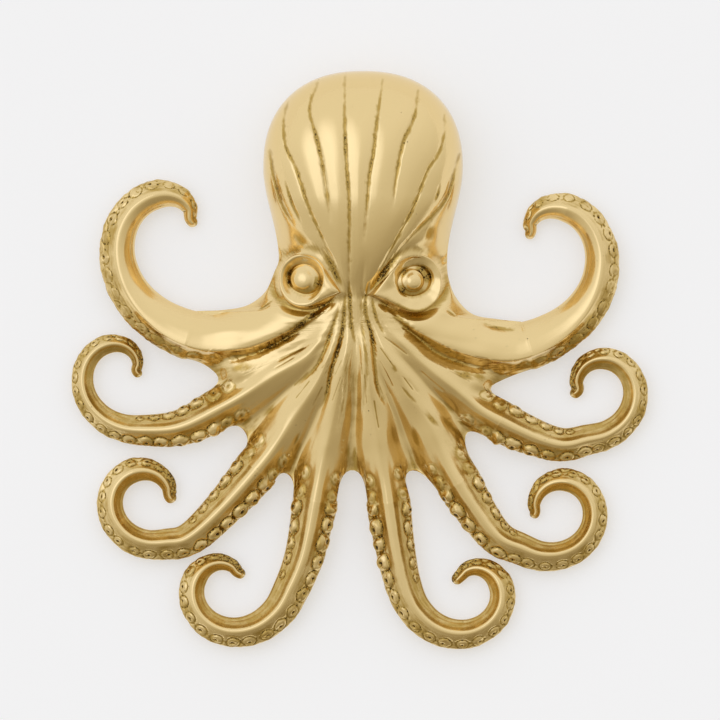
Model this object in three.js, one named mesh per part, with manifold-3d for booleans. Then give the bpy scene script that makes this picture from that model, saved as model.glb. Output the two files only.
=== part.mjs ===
import * as THREE from 'three';
import Module from 'manifold-3d';
import { mergeVertices } from 'three/addons/utils/BufferGeometryUtils.js';

// Cast brass octopus paperweight, lying flat on felt.
// Millimetres. +Z up, +Y towards the top of the mantle, origin on the table under the middle.

// Heights
const FELT_THICK = 0.9;
const GAP = 0.3;
const BASE = FELT_THICK + GAP;
const MANTLE_HEIGHT = 27;
const BROW_HEIGHT = 18.5;
const MANTLE_RIM = 8;
const ARM_RIM = 5;
const WEB_RIM = 4.5;
const WEB_SLOPE = 0.3;
const FLUTE_DEPTH = 3;
const BROW_MERGE = 1.4;
const BROW_CURVE = 0.02;
const BROW_SWELL = 1.2;
const BLEND = 0.7;
const SHOULDER_BLEND = 2;
const SHOULDER_Y = 17;

// Mantle and head, seen from above
const MANTLE_X = 0.8;
const MANTLE_TOP = 76;
const MANTLE_WIDE_Y = 50.6;
const MANTLE_WIDTH = 52.5;
const MANTLE_SQUARENESS = 2.3;
const CROWN_SQUARENESS = 2.4;
const NECK_ROUNDNESS = 0.82;
const CROWN_ROUNDNESS = 0.5;
const MANTLE_CROWN_Y = 43;
const NECK_Y = 26.4;
const NECK_WIDTH = 44.3;
const BROW_Y = 14;
const MANTLE_TUCK = 3.5;
const WEB_TUCK = 0.5;
const SHOULDER_ROUND = 7;
const NOTCH_ROUND = 3;
const NOTCH_STRAIGHT = 0.4;

// Arms. The ridge height and the sucker size follow the half-width of the arm.
const RIDGE_RATIO = 1.45;
const SUCKER_LEAST = 0.45;
const SUCKER_RATIO = 0.2;
const SUCKER_PITCH_RATIO = 3.6;
const TENON_LENGTH = 4;
const TENON_WIDTH = 3.6;
const TENON_HEIGHT = 2.4;
const TENON_LIFT = 1.4;
const TIP_RUN = 16;
const TIP_TAPER = 1.3;
const FIRST_SUCKER = 2;
const LAST_SUCKER = 4;
const INNER_SEAT = 2;
const OUTER_SEAT = 8;
const FLUTE_HALF_AT_BROW = 1.4;
const UPPER_SPREAD = 1.7;
const UPPER_BROW_LEAN = 0.8;

// Eyes
const EYE_RADIUS = 4.6;
const EYE_TILT = 16;
const EYE_SINK = 0.4;
const SOCKET_DEPTH = 3.2;
const LID_RADIUS = 6.1;
const LID_DROOP = 0.9;

// Felts
const FELT_MARGIN = 6;
const FELT_DOT_PLACE = 0.35;
const FELT_DOT_SHARE = 0.72;

// Each arm runs from the brow through its reach points, round a spiral curl and on to its tip.
// joint: length from the brow to the joint. half: half-widths at the joint, in the curl and at the tip.
// lean: place of the crest across the arm at the joint and in the curl, towards the outer edge.
// flanged: the straight stretch has a sucker flange on both sides.
const ARMS = [
  {
    name: 'upper_left_arm', flanged: false, joint: 37.5, half: [6.6, 3.65, 1.1], taper: 1.7,
    lean: [0.4, -0.05], reach: [[-9, 14.5], [-19, 10.8], [-31, 6.9]], tip: [-43.3, 35.3],
    curl: { x: -46.4, y: 35.2, start: -81, sweep: -231, from: 29.7, to: 2.6, ease: 0.84 },
  },
  {
    name: 'side_left_arm', flanged: true, joint: 46, half: [5.65, 2.4, 1.1], taper: 2.1, lean: [-0.05, -0.28],
    reach: [[-4.5, 15], [-8, 9], [-13, 1.8], [-22.4, -4.2], [-35.5, -12.2]], tip: [-57.8, -4.3],
    curl: { x: -62.6, y: -2.6, start: -45, sweep: -318, from: 21.5, to: 3.6, ease: 0.54 },
  },
  {
    name: 'lower_left_arm', flanged: true, joint: 50, half: [6.1, 3.2, 1.4], taper: 2.4, lean: [0, -0.15],
    reach: [[-3.4, 14.5], [-6, 6.6], [-10.4, -4], [-18, -16], [-25.2, -26.4]], tip: [-48.8, -37.3],
    curl: { x: -56.3, y: -36.5, start: -44, sweep: -311, from: 15.5, to: 6.3, ease: 0.51 },
  },
  {
    name: 'front_left_arm', flanged: true, joint: 51, half: [5.95, 2.9, 1.2], taper: 1.4, lean: [0, -0.25],
    reach: [[-2.6, 13], [-3.7, 1], [-6.2, -12], [-9, -23], [-11, -33]], tip: [-30.3, -56.8],
    curl: { x: -35.5, y: -59.4, start: 20, sweep: -334, from: 22.1, to: 4.8, ease: 0.49 },
  },
  {
    name: 'front_right_arm', flanged: true, joint: 51, half: [5.85, 3, 1.3], taper: 1.5, lean: [0, -0.25],
    reach: [[0.4, 13], [1.6, 1], [3.2, -12], [5, -23], [6.8, -33]], tip: [24.6, -58.8],
    curl: { x: 29.1, y: -60.1, start: 153, sweep: 334, from: 22.2, to: 4.2, ease: 0.53 },
  },
  {
    name: 'lower_right_arm', flanged: true, joint: 52.5, half: [6.1, 3, 1.2], taper: 2.5, lean: [0, -0.15],
    reach: [[1.6, 14], [4.8, 6], [9.5, -3], [17, -15], [24, -29]], tip: [45.2, -41.5],
    curl: { x: 52.2, y: -39.4, start: -155, sweep: 343, from: 17.6, to: 6.2, ease: 0.45 },
  },
  {
    name: 'side_right_arm', flanged: true, joint: 46, half: [5.65, 2.8, 1.3], taper: 2, lean: [-0.05, -0.28],
    reach: [[3, 14.5], [8, 7.6], [15, 0.4], [24.5, -7.6], [33.2, -14.2]], tip: [55.6, -9.5],
    curl: { x: 62.7, y: -7.1, start: -124, sweep: 313, from: 18.3, to: 5.4, ease: 0.44 },
  },
  {
    name: 'upper_right_arm', flanged: false, joint: 38.5, half: [6.5, 3.55, 1.1], taper: 1.7,
    lean: [0.4, -0.05], reach: [[8, 13.5], [18, 9.3], [29, 5]], tip: [44.3, 31.9],
    curl: { x: 46.7, y: 32.1, start: -102, sweep: 238, from: 29.7, to: 2.4, ease: 0.81 },
  },
];

// Bottoms of the notches between neighbouring arms, in the same order as the arms.
const CROTCHES = [
  [-38.3, -3.2], [-30.3, -19], [-18.9, -30.2], [-2, -29], [13.7, -29.1], [27.7, -20.5], [35.8, -6.1],
];

// Outlines of the shoulders from the neck to the upper arms.
const LEFT_SHOULDER = [[-22.6, 23], [-25, 17.9], [-29.5, 14.5], [-36, 13.2]];
const RIGHT_SHOULDER = [[23.2, 22], [25.2, 16.6], [29.5, 12.2], [36, 10.8]];

// Engraved lines of the mantle, left to right.
const GROOVES = [
  [[-23.7, 55], [-22.4, 47.5], [-20.3, 40.5], [-17.5, 35.5]],
  [[-19, 67.5], [-20, 62], [-19.5, 56], [-17, 50.5], [-13.2, 39.5], [-9, 30], [-5.5, 23]],
  [[-11, 72.5], [-13.2, 66], [-11.5, 58.5], [-10.3, 53.5], [-9, 46], [-7.7, 36.5]],
  [[-4, 74], [-4, 64], [-3.6, 52], [-3, 44], [-2.8, 35.5], [-2.9, 21]],
  [[6, 73.5], [4.9, 66], [3.5, 54.5], [2.4, 47.5], [1.8, 40], [1.1, 32]],
  [[15.2, 70.5], [14, 63], [11.6, 57.5], [10, 51], [9, 44.5], [8.7, 40.5]],
  [[22, 64.5], [22, 59], [20.3, 53.5], [17.7, 49.5], [14, 40], [9, 30.5], [3.8, 21]],
  [[26, 54], [24.5, 48.5], [22.7, 42.7], [19.5, 38.5], [15.6, 34.6], [9.5, 28]],
];
const GROOVE_WIDTH = 1.3;
const GROOVE_DEPTH = 0.8;

// Half sections of an arm as shares of half-width and ridge height, from the crest to the underside.
const ROOT_SIDE = [[0.17, 0.965], [0.46, 0.79], [0.72, 0.64], [1, 0.42], [0.92, 0]];
const STEP_SIDE = [[0.12, 0.96], [0.34, 0.75], [0.65, 0.6], [1, 0.4], [0.92, 0]];
const BROAD_SIDE = [[0.2, 0.985], [0.5, 0.9], [0.8, 0.68], [1, 0.4], [0.92, 0]];
const FLANGE_SIDE = [[0.12, 0.975], [0.4, 0.82], [0.7, 0.66], [1, 0.46], [0.94, 0]];
const COVE_SIDE = [[0.12, 0.975], [0.42, 0.82], [0.74, 0.66], [1, 0.5], [0.95, 0]];

const wasm = await Module();
wasm.setup();
const { Manifold, Mesh } = wasm;

const { clamp, degToRad, lerp, smoothstep } = THREE.MathUtils;

// Solids

function toManifold(geometry) {
  const bare = geometry.clone();
  bare.deleteAttribute('normal');
  bare.deleteAttribute('uv');
  const merged = mergeVertices(bare, 1e-4);
  return new Manifold(new Mesh({
    numProp: 3,
    vertProperties: new Float32Array(merged.attributes.position.array),
    triVerts: new Uint32Array(merged.index.array),
  }));
}

function toGeometry(solid) {
  const mesh = solid.getMesh();
  const geometry = new THREE.BufferGeometry();
  geometry.setAttribute('position', new THREE.BufferAttribute(new Float32Array(mesh.vertProperties), 3));
  geometry.setIndex(new THREE.BufferAttribute(new Uint32Array(mesh.triVerts), 1));
  geometry.computeVertexNormals();
  return geometry;
}

function indexed(points, triangles) {
  let volume = 0;
  for (const [a, b, c] of triangles) {
    volume += points[a].dot(new THREE.Vector3().crossVectors(points[b], points[c]));
  }
  const outward = volume > 0 ? triangles : triangles.map(([a, b, c]) => [a, c, b]);
  const geometry = new THREE.BufferGeometry().setFromPoints(points);
  geometry.setIndex(outward.flat());
  return geometry;
}

// Closed skin over a row of rings. A looped row joins its last ring to its first.
function loft(rings, looped = false) {
  const count = rings[0].length;
  const points = rings.flat();
  const triangles = [];
  const rows = looped ? rings.length : rings.length - 1;
  for (let row = 0; row < rows; row += 1) {
    const near = row * count;
    const far = ((row + 1) % rings.length) * count;
    for (let i = 0; i < count; i += 1) {
      const j = (i + 1) % count;
      triangles.push([near + i, near + j, far + j], [near + i, far + j, far + i]);
    }
  }
  if (!looped) {
    const last = (rings.length - 1) * count;
    const middle = (ring) => ring.reduce((sum, p) => sum.add(p), new THREE.Vector3()).divideScalar(count);
    points.push(middle(rings[0]), middle(rings[rings.length - 1]));
    for (let i = 0; i < count; i += 1) {
      const j = (i + 1) % count;
      triangles.push([points.length - 2, j, i], [points.length - 1, last + i, last + j]);
    }
  }
  return indexed(points, triangles);
}

// Arm line and section

function curlPoints(curl) {
  const steps = Math.round(Math.abs(curl.sweep) / 22);
  const points = [];
  for (let i = 0; i <= steps; i += 1) {
    const share = i / steps;
    const angle = degToRad(curl.start + curl.sweep * share);
    const radius = lerp(curl.from, curl.to, share ** curl.ease);
    points.push(new THREE.Vector3(curl.x + radius * Math.cos(angle), curl.y + radius * Math.sin(angle), 0));
  }
  return points;
}

function traceArm(arm) {
  const start = arm.reach.map(([x, y]) => new THREE.Vector3(x, y, 0));
  const tip = new THREE.Vector3(...arm.tip, 0);
  const line = new THREE.CatmullRomCurve3([...start, ...curlPoints(arm.curl), tip], false, 'centripetal');
  line.arcLengthDivisions = 600;
  const length = line.getLength();
  const side = -Math.sign(arm.curl.sweep);
  const at = (s) => {
    const share = clamp(s / length, 0, 1);
    const origin = line.getPointAt(share);
    const along = line.getTangentAt(share);
    const outer = new THREE.Vector3(-along.y * side, along.x * side, 0);
    return { origin, along, outer };
  };
  const free = length - arm.joint;
  const past = (s) => clamp((s - arm.joint) / free, 0, 1);
  const halfAt = (s) => {
    const [root, curled, blunt] = arm.half;
    const body = curled + (root - curled) * (1 - past(s)) ** arm.taper;
    const ending = clamp((s - length + TIP_RUN) / TIP_RUN, 0, 1);
    const rounding = clamp((s - length + blunt) / blunt, 0, 0.95);
    return (blunt + (body - blunt) * (1 - ending ** TIP_TAPER)) * Math.sqrt(1 - rounding ** 2);
  };
  const rootSides = arm.flanged ? [ROOT_SIDE, ROOT_SIDE] : [STEP_SIDE, BROAD_SIDE];
  const reachSamples = [];
  for (let i = 0; i <= 40; i += 1) {
    reachSamples.push({ share: i / 40, ...at((arm.joint * i) / 40) });
  }
  return { ...arm, at, length, free, past, halfAt, rootSides, reachSamples };
}

const arms = ARMS.map(traceArm);

function place(frame, across, height) {
  return frame.origin.clone().addScaledVector(frame.outer, across).setZ(height);
}

// Section points from the inner underside over the crest to the outer underside.
function armSection(arm, s) {
  const half = arm.halfAt(s);
  const ridge = RIDGE_RATIO * half;
  const curled = smoothstep(arm.past(s), 0.05, 0.4);
  const lean = lerp(...arm.lean, smoothstep(arm.past(s), 0, 0.45));
  const blend = (from, to, side) => from.map(([across, height], i) => [
    (lean + (side - lean) * lerp(across, to[i][0], curled)) * half,
    lerp(height, to[i][1], curled) * ridge,
  ]);
  const outer = blend(arm.rootSides[0], FLANGE_SIDE, 1);
  const inner = blend(arm.rootSides[1], COVE_SIDE, -1);
  return [...inner.reverse(), [lean * half, ridge], ...outer];
}

// Height of a half section at a share of the way to its edge, as a share of the ridge height.
function flank(share, halfSection) {
  let [fromAcross, fromHeight] = [0, 1];
  for (const [across, height] of halfSection.slice(0, -1)) {
    if (share <= across) {
      return lerp(fromHeight, height, (share - fromAcross) / (across - fromAcross));
    }
    [fromAcross, fromHeight] = [across, height];
  }
  return fromHeight;
}

// Height of the body casting over the table

function mantleHalf(y) {
  const full = MANTLE_WIDTH / 2;
  if (y >= MANTLE_WIDE_Y) {
    const rise = clamp((y - MANTLE_WIDE_Y) / (MANTLE_TOP - MANTLE_WIDE_Y), 0, 1);
    return full * (1 - rise ** MANTLE_SQUARENESS) ** (1 / MANTLE_SQUARENESS);
  }
  return lerp(NECK_WIDTH / 2, full, smoothstep(y, NECK_Y, MANTLE_WIDE_Y));
}

function mantleCrown(y) {
  if (y > MANTLE_CROWN_Y) {
    const rise = clamp((y - MANTLE_CROWN_Y) / (MANTLE_TOP - MANTLE_CROWN_Y), 0, 1);
    return lerp(MANTLE_RIM, MANTLE_HEIGHT, Math.sqrt(1 - rise ** CROWN_SQUARENESS));
  }
  const run = MANTLE_CROWN_Y - BROW_Y;
  const fall = clamp((MANTLE_CROWN_Y - y) / run, 0, 1);
  const eased = lerp(MANTLE_HEIGHT, BROW_HEIGHT, smoothstep(fall, 0, 1));
  const below = Math.max(0, BROW_Y - y);
  return eased + WEB_SLOPE * run * fall ** 2 * (1 - fall) - WEB_SLOPE * below - BROW_CURVE * below ** 2;
}

function mantleField(x, y) {
  const half = Math.max(0.1, mantleHalf(y));
  const off = Math.abs(x - MANTLE_X);
  const crown = mantleCrown(y);
  const rim = Math.min(MANTLE_RIM, crown);
  const share = Math.min(1, off / half);
  const roundOff = lerp(NECK_ROUNDNESS, CROWN_ROUNDNESS, smoothstep(y, NECK_Y, MANTLE_CROWN_Y));
  return rim + (crown - rim) * (1 - share ** CROWN_SQUARENESS) ** roundOff - 2 * Math.max(0, off - half);
}

function fluteField(arm, x, y) {
  let nearest = arm.reachSamples[0];
  let best = Infinity;
  for (const sample of arm.reachSamples) {
    const distance = (sample.origin.x - x) ** 2 + (sample.origin.y - y) ** 2;
    if (distance < best) {
      best = distance;
      nearest = sample;
    }
  }
  const { share, origin, outer } = nearest;
  const across = (x - origin.x) * outer.x + (y - origin.y) * outer.y;
  const away = Math.sqrt(best);
  const spread = arm.flanged ? share : Math.min(1, UPPER_SPREAD * share);
  const half = lerp(FLUTE_HALF_AT_BROW, arm.half[0], spread ** 0.8);
  const ridge = lerp(BROW_HEIGHT - BASE - BROW_MERGE, RIDGE_RATIO * arm.half[0], share ** 0.75);
  const lean = lerp(arm.flanged ? 0 : UPPER_BROW_LEAN, arm.lean[0], share);
  const side = (Math.sign(across) * away) / half - lean;
  const reach = Math.min(1, side > 0 ? side / (1 - lean) : -side / (1 + lean));
  const drop = ridge * (1 - flank(reach, arm.rootSides[side > 0 ? 0 : 1]));
  const swell = lerp(BROW_SWELL, FLUTE_DEPTH, share) * reach ** 1.8;
  const formed = arm.flanged ? smoothstep(share, 0.7, 1) : smoothstep(share, 0.1, 0.8);
  return BASE + ridge - lerp(swell, drop, formed) - 1.2 * Math.max(0, away - half);
}

function castingHeight(x, y) {
  const web = BROW_HEIGHT - BROW_MERGE - WEB_SLOPE * Math.hypot(x, y - BROW_Y);
  const fields = [web, mantleField(x, y), ...arms.map((arm) => fluteField(arm, x, y))];
  const top = Math.max(...fields);
  const fromShoulder = Math.hypot(Math.abs(x - MANTLE_X) - NECK_WIDTH / 2, y - SHOULDER_Y);
  const blend = BLEND + SHOULDER_BLEND * Math.exp(-((fromShoulder / SHOULDER_ROUND) ** 2));
  const sum = fields.reduce((total, field) => total + Math.exp((field - top) / blend), 0);
  return top + blend * Math.log(sum);
}

// Outline of the body casting, anticlockwise from the top of the mantle

// Line between two arms, straight along each and round at the bottom. end: 1 at the arms, 0 at the bottom.
function notchLine(from, to, sides, crotch) {
  const bottom = new THREE.Vector3(...crotch, 0);
  const [start, finish] = [from.clone().setZ(0), to.clone().setZ(0)];
  const depth = bottom.clone().addScaledVector(start, -0.5).addScaledVector(finish, -0.5);
  const backs = sides.map((arm) => arm.at(arm.joint).along.negate());
  const pull = (2 * depth.lengthSq()) / (depth.dot(backs[0]) + depth.dot(backs[1]));
  const corners = [start, finish].map((point, i) => point.clone().addScaledVector(backs[i], pull));
  const shift = bottom.clone().addScaledVector(corners[0], -0.5).addScaledVector(corners[1], -0.5);
  corners.forEach((corner) => corner.add(shift));
  const down = new THREE.QuadraticBezierCurve3(start.lerp(corners[0], NOTCH_STRAIGHT), corners[0], bottom);
  const up = new THREE.QuadraticBezierCurve3(bottom, corners[1], finish.lerp(corners[1], NOTCH_STRAIGHT));
  return [
    { point: down.getPoint(0), end: 0.4 },
    { point: down.getPoint(0.55), end: 0.1 },
    { point: bottom, end: 0 },
    { point: up.getPoint(0.45), end: 0.1 },
    { point: up.getPoint(1), end: 0.4 },
  ];
}

function bodyOutline() {
  const outline = [];
  const rim = (x, y, z, tuck, round) => outline.push({ point: new THREE.Vector3(x, y, z), tuck, round });
  const shoulder = (x, y, share) => {
    const height = lerp(MANTLE_RIM, ARM_RIM, share);
    rim(x, y, height, lerp(MANTLE_TUCK, WEB_TUCK, share), SHOULDER_ROUND);
  };
  const mantleSide = [];
  for (let i = 1; i <= 9; i += 1) {
    const angle = (i / 9) * (Math.PI / 2);
    const y = MANTLE_WIDE_Y + (MANTLE_TOP - MANTLE_WIDE_Y) * Math.cos(angle) ** (2 / MANTLE_SQUARENESS);
    mantleSide.push([mantleHalf(y), y]);
  }
  for (const y of [45, 38, 32, NECK_Y]) {
    mantleSide.push([mantleHalf(y), y]);
  }
  rim(MANTLE_X, MANTLE_TOP, MANTLE_RIM, MANTLE_TUCK, 0);
  mantleSide.forEach(([half, y]) => rim(MANTLE_X - half, y, MANTLE_RIM, MANTLE_TUCK, 0));
  LEFT_SHOULDER.forEach(([x, y], i) => shoulder(x, y, i / (LEFT_SHOULDER.length - 1)));
  arms.forEach((arm, i) => {
    const frame = arm.at(arm.joint);
    const cap = armSection(arm, arm.joint).slice(1, -1);
    const ordered = arm.curl.sweep < 0 ? cap : cap.reverse();
    ordered.forEach(([across, height]) => {
      const point = place(frame, across, BASE + height);
      rim(point.x, point.y, point.z, 0, 0);
    });
    if (i < CROTCHES.length) {
      const from = outline[outline.length - 1].point;
      const next = arms[i + 1];
      const edge = armSection(next, next.joint)[next.curl.sweep < 0 ? 1 : 9];
      const to = place(next.at(next.joint), edge[0], BASE + edge[1]);
      notchLine(from, to, [arm, next], CROTCHES[i]).forEach(({ point, end }) => {
        const height = lerp(WEB_RIM, lerp(from.z, to.z, 0.5), end);
        rim(point.x, point.y, height, WEB_TUCK * (1 - end), NOTCH_ROUND * (1 - end ** 2));
      });
    }
  });
  [...RIGHT_SHOULDER].reverse().forEach(([x, y], i) => shoulder(x, y, 1 - i / (RIGHT_SHOULDER.length - 1)));
  mantleSide.reverse().forEach(([half, y]) => rim(MANTLE_X + half, y, MANTLE_RIM, MANTLE_TUCK, 0));
  return outline;
}

// The skin is a fan of rays from a pole under the brow, raised to the casting height.
const POLE = new THREE.Vector3(-0.5, 9.8, 0);
const RAY_SHARES = [1, 0.98, 0.93, 0.85, 0.75, 0.63, 0.5, 0.35, 0.2];

function bodySkin(outline) {
  const count = outline.length;
  const points = [];
  outline.forEach(({ point, tuck }) => {
    const inward = new THREE.Vector3(POLE.x - point.x, POLE.y - point.y, 0).normalize();
    points.push(point.clone().addScaledVector(inward, tuck).setZ(BASE));
  });
  RAY_SHARES.forEach((share) => outline.forEach(({ point, round }) => {
    const spot = new THREE.Vector3().lerpVectors(POLE, point, share);
    const reach = (1 - share) * Math.hypot(point.x - POLE.x, point.y - POLE.y);
    const turn = round > 0 ? Math.sqrt(1 - (1 - Math.min(1, reach / round)) ** 2) : 1;
    const height = lerp(point.z, castingHeight(spot.x, spot.y), turn);
    points.push(spot.setZ(share === 1 ? point.z : height));
  }));
  const triangles = [];
  for (let row = 0; row < RAY_SHARES.length; row += 1) {
    for (let i = 0; i < count; i += 1) {
      const j = (i + 1) % count;
      const near = row * count;
      const far = near + count;
      triangles.push([near + i, near + j, far + j], [near + i, far + j, far + i]);
    }
  }
  points.push(POLE.clone().setZ(castingHeight(POLE.x, POLE.y)), POLE.clone().setZ(BASE));
  const last = RAY_SHARES.length * count;
  for (let i = 0; i < count; i += 1) {
    const j = (i + 1) % count;
    triangles.push([points.length - 2, last + i, last + j], [points.length - 1, j, i]);
  }
  return indexed(points, triangles);
}

function grooveCutter(line) {
  const path = new THREE.SplineCurve(line.map(([x, y]) => new THREE.Vector2(x, y)));
  const steps = 8;
  const rings = [];
  for (let i = 0; i <= steps; i += 1) {
    const spot = path.getPoint(i / steps);
    const along = path.getTangent(i / steps);
    const fade = Math.sin(Math.PI * lerp(0.12, 0.88, i / steps)) ** 0.5;
    const wide = (GROOVE_WIDTH / 2) * fade + 0.3;
    const surface = castingHeight(spot.x, spot.y);
    rings.push([
      new THREE.Vector3(spot.x - along.y * wide, spot.y + along.x * wide, surface + 1),
      new THREE.Vector3(spot.x, spot.y, surface - GROOVE_DEPTH * fade),
      new THREE.Vector3(spot.x + along.y * wide, spot.y - along.x * wide, surface + 1),
    ]);
  }
  return toManifold(loft(rings));
}

// Eyes

const EYES = [
  { name: 'left_eyeball', x: -14.8, y: 21.3, cornerX: -5.1, cornerY: 17.8, boss: 3.5 },
  { name: 'right_eyeball', x: 14.4, y: 20.8, cornerX: 3.9, cornerY: 17.4, boss: 2.9 },
];

function eyeMatrix(eye) {
  const tilt = degToRad(EYE_TILT) * Math.sign(eye.x);
  const matrix = new THREE.Matrix4().makeRotationY(tilt);
  return matrix.setPosition(eye.x, eye.y, castingHeight(eye.x, eye.y) - EYE_SINK);
}

function eyelid(eye) {
  const corner = new THREE.Vector2(eye.cornerX - eye.x, eye.cornerY - eye.y);
  const reach = corner.length();
  const spread = Math.acos(LID_RADIUS / reach);
  const section = [[-1.5, -4.5], [-1.3, -0.1], [-0.1, 1.1], [0.6, 0.4], [1.6, -5.2]];
  const steps = 28;
  const rings = [];
  for (let i = 0; i < steps; i += 1) {
    const angle = (i / steps) * Math.PI * 2;
    const off = Math.min(angle, Math.PI * 2 - angle);
    const radius = off < spread ? LID_RADIUS / Math.cos(spread - off) : LID_RADIUS;
    const turn = corner.angle() + angle;
    const droop = LID_DROOP * Math.max(0, -Math.sin(turn)) ** 1.5;
    rings.push(section.map(([across, height], row) => {
      const out = radius + across + (row > 1 ? droop : 0);
      const point = new THREE.Vector3(out * Math.cos(turn), out * Math.sin(turn), height);
      return point.applyMatrix4(eyeMatrix(eye));
    }));
  }
  return toManifold(loft(rings, true));
}

function eyeSocket(eye) {
  const bore = new THREE.CylinderGeometry(EYE_RADIUS + GAP, EYE_RADIUS + GAP, 12, 24);
  bore.rotateX(Math.PI / 2);
  bore.translate(0, 0, 6 - SOCKET_DEPTH);
  return toManifold(bore.applyMatrix4(eyeMatrix(eye)));
}

function eyeball(eye) {
  const disc = [[0, 0], [EYE_RADIUS, 0], [EYE_RADIUS, 2.15], [EYE_RADIUS - 0.3, 2.4]];
  const bossSide = [[1.08, 2.3], [1, 2.45], [0.9, 2.9], [0.68, 3.45], [0.36, 3.9], [0, 4.05]];
  const profile = [...disc, ...bossSide.map(([share, z]) => [share * eye.boss, z])];
  const turned = new THREE.LatheGeometry(profile.map(([r, z]) => new THREE.Vector2(r, z)), 16);
  turned.rotateX(Math.PI / 2);
  turned.translate(0, 0, GAP - SOCKET_DEPTH);
  return toGeometry(toManifold(turned));
}

// Arms

function tenonBlock(arm, clearance, past) {
  const frame = arm.at(arm.joint);
  const wide = TENON_WIDTH + 2 * clearance;
  const tall = TENON_HEIGHT + 2 * clearance;
  const long = TENON_LENGTH + clearance + past;
  const block = new THREE.BoxGeometry(long, wide, tall);
  block.translate(past - long / 2, 0, 0);
  const turn = new THREE.Matrix4().makeRotationZ(Math.atan2(frame.along.y, frame.along.x));
  turn.setPosition(frame.origin.x, frame.origin.y, BASE + TENON_LIFT + TENON_HEIGHT / 2);
  return toManifold(block.applyMatrix4(turn));
}

function suckerRadius(arm, s) {
  return SUCKER_LEAST + SUCKER_RATIO * arm.halfAt(s);
}

function suckerAt(arm, s, side) {
  const frame = arm.at(s);
  const radius = suckerRadius(arm, s);
  const cup = [[0, -0.6], [1, -0.6], [0.8, 0.5], [0, 0.25]];
  const profile = cup.map(([r, z]) => new THREE.Vector2(r * radius, z * radius));
  const sucker = new THREE.LatheGeometry(profile, 5);
  sucker.rotateX(Math.PI / 2);
  const lean = new THREE.Vector3(0, 0, 1).addScaledVector(frame.outer, 0.7 * side).normalize();
  const turn = new THREE.Quaternion().setFromUnitVectors(new THREE.Vector3(0, 0, 1), lean);
  const [across, height] = armSection(arm, s)[side > 0 ? OUTER_SEAT : INNER_SEAT];
  const seat = place(frame, across, BASE + height);
  sucker.applyMatrix4(new THREE.Matrix4().compose(seat, turn, new THREE.Vector3(1, 1, 1)));
  return toManifold(sucker);
}

function buildArm(arm) {
  const rings = [];
  const steps = 20;
  for (let i = 0; i <= steps; i += 1) {
    const share = i / steps;
    const s = arm.joint + GAP + (arm.free - GAP) * (1 - (1 - share) ** 1.3);
    const frame = arm.at(s);
    rings.push(armSection(arm, s).map(([across, height]) => place(frame, across, BASE + height)));
  }
  const pieces = [toManifold(loft(rings)), tenonBlock(arm, 0, GAP + 1)];
  let s = arm.joint + FIRST_SUCKER;
  let row = 0;
  while (s < arm.length - LAST_SUCKER) {
    pieces.push(suckerAt(arm, s, 1));
    if (arm.flanged && row < 3) {
      pieces.push(suckerAt(arm, s + 1.5, -1));
    }
    s += SUCKER_PITCH_RATIO * suckerRadius(arm, s);
    row += 1;
  }
  return toGeometry(Manifold.union(pieces).simplify(0.04));
}

// Body casting, felts and the assembly

function buildBody(outline) {
  const lids = EYES.map(eyelid);
  const skin = Manifold.union([toManifold(bodySkin(outline)), ...lids]);
  const cuts = [
    ...EYES.map(eyeSocket),
    ...GROOVES.map(grooveCutter),
    ...arms.map((arm) => tenonBlock(arm, GAP, 2)),
  ];
  return toGeometry(skin.subtract(Manifold.union(cuts)).simplify(0.04));
}

function bodyFelt(outline) {
  const trimmed = outline.filter((_, i) => i % 2 === 0).map(({ point }) => {
    const inward = new THREE.Vector2(POLE.x - point.x, POLE.y - point.y).setLength(FELT_MARGIN);
    return new THREE.Vector2(point.x, point.y).add(inward);
  });
  return new THREE.ExtrudeGeometry(new THREE.Shape(trimmed), { depth: FELT_THICK, bevelEnabled: false });
}

function feltDot(radius) {
  const dot = new THREE.CylinderGeometry(radius, radius, FELT_THICK, 14);
  dot.rotateX(Math.PI / 2);
  return dot.translate(0, 0, FELT_THICK / 2);
}

const brass = new THREE.MeshStandardMaterial({ color: 0xd0ac62, metalness: 1, roughness: 0.28 });
const felt = new THREE.MeshStandardMaterial({ color: 0x23402f, metalness: 0, roughness: 0.95 });

const octopus = new THREE.Group();
octopus.name = 'octopus_paperweight';

function addPiece(name, geometry, material) {
  const mesh = new THREE.Mesh(geometry, material);
  mesh.name = name;
  octopus.add(mesh);
  return mesh;
}

const outline = bodyOutline();
addPiece('body_casting', buildBody(outline), brass);
arms.forEach((arm) => addPiece(arm.name, buildArm(arm), brass));
EYES.forEach((eye) => addPiece(eye.name, eyeball(eye), brass).applyMatrix4(eyeMatrix(eye)));
addPiece('body_felt', bodyFelt(outline), felt);
arms.forEach((arm) => {
  const s = arm.joint + FELT_DOT_PLACE * arm.free;
  const dot = addPiece(arm.name.replace('_arm', '_felt'), feltDot(FELT_DOT_SHARE * arm.halfAt(s)), felt);
  dot.position.copy(arm.at(s).origin);
});

export default octopus;
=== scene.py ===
from math import radians

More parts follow.
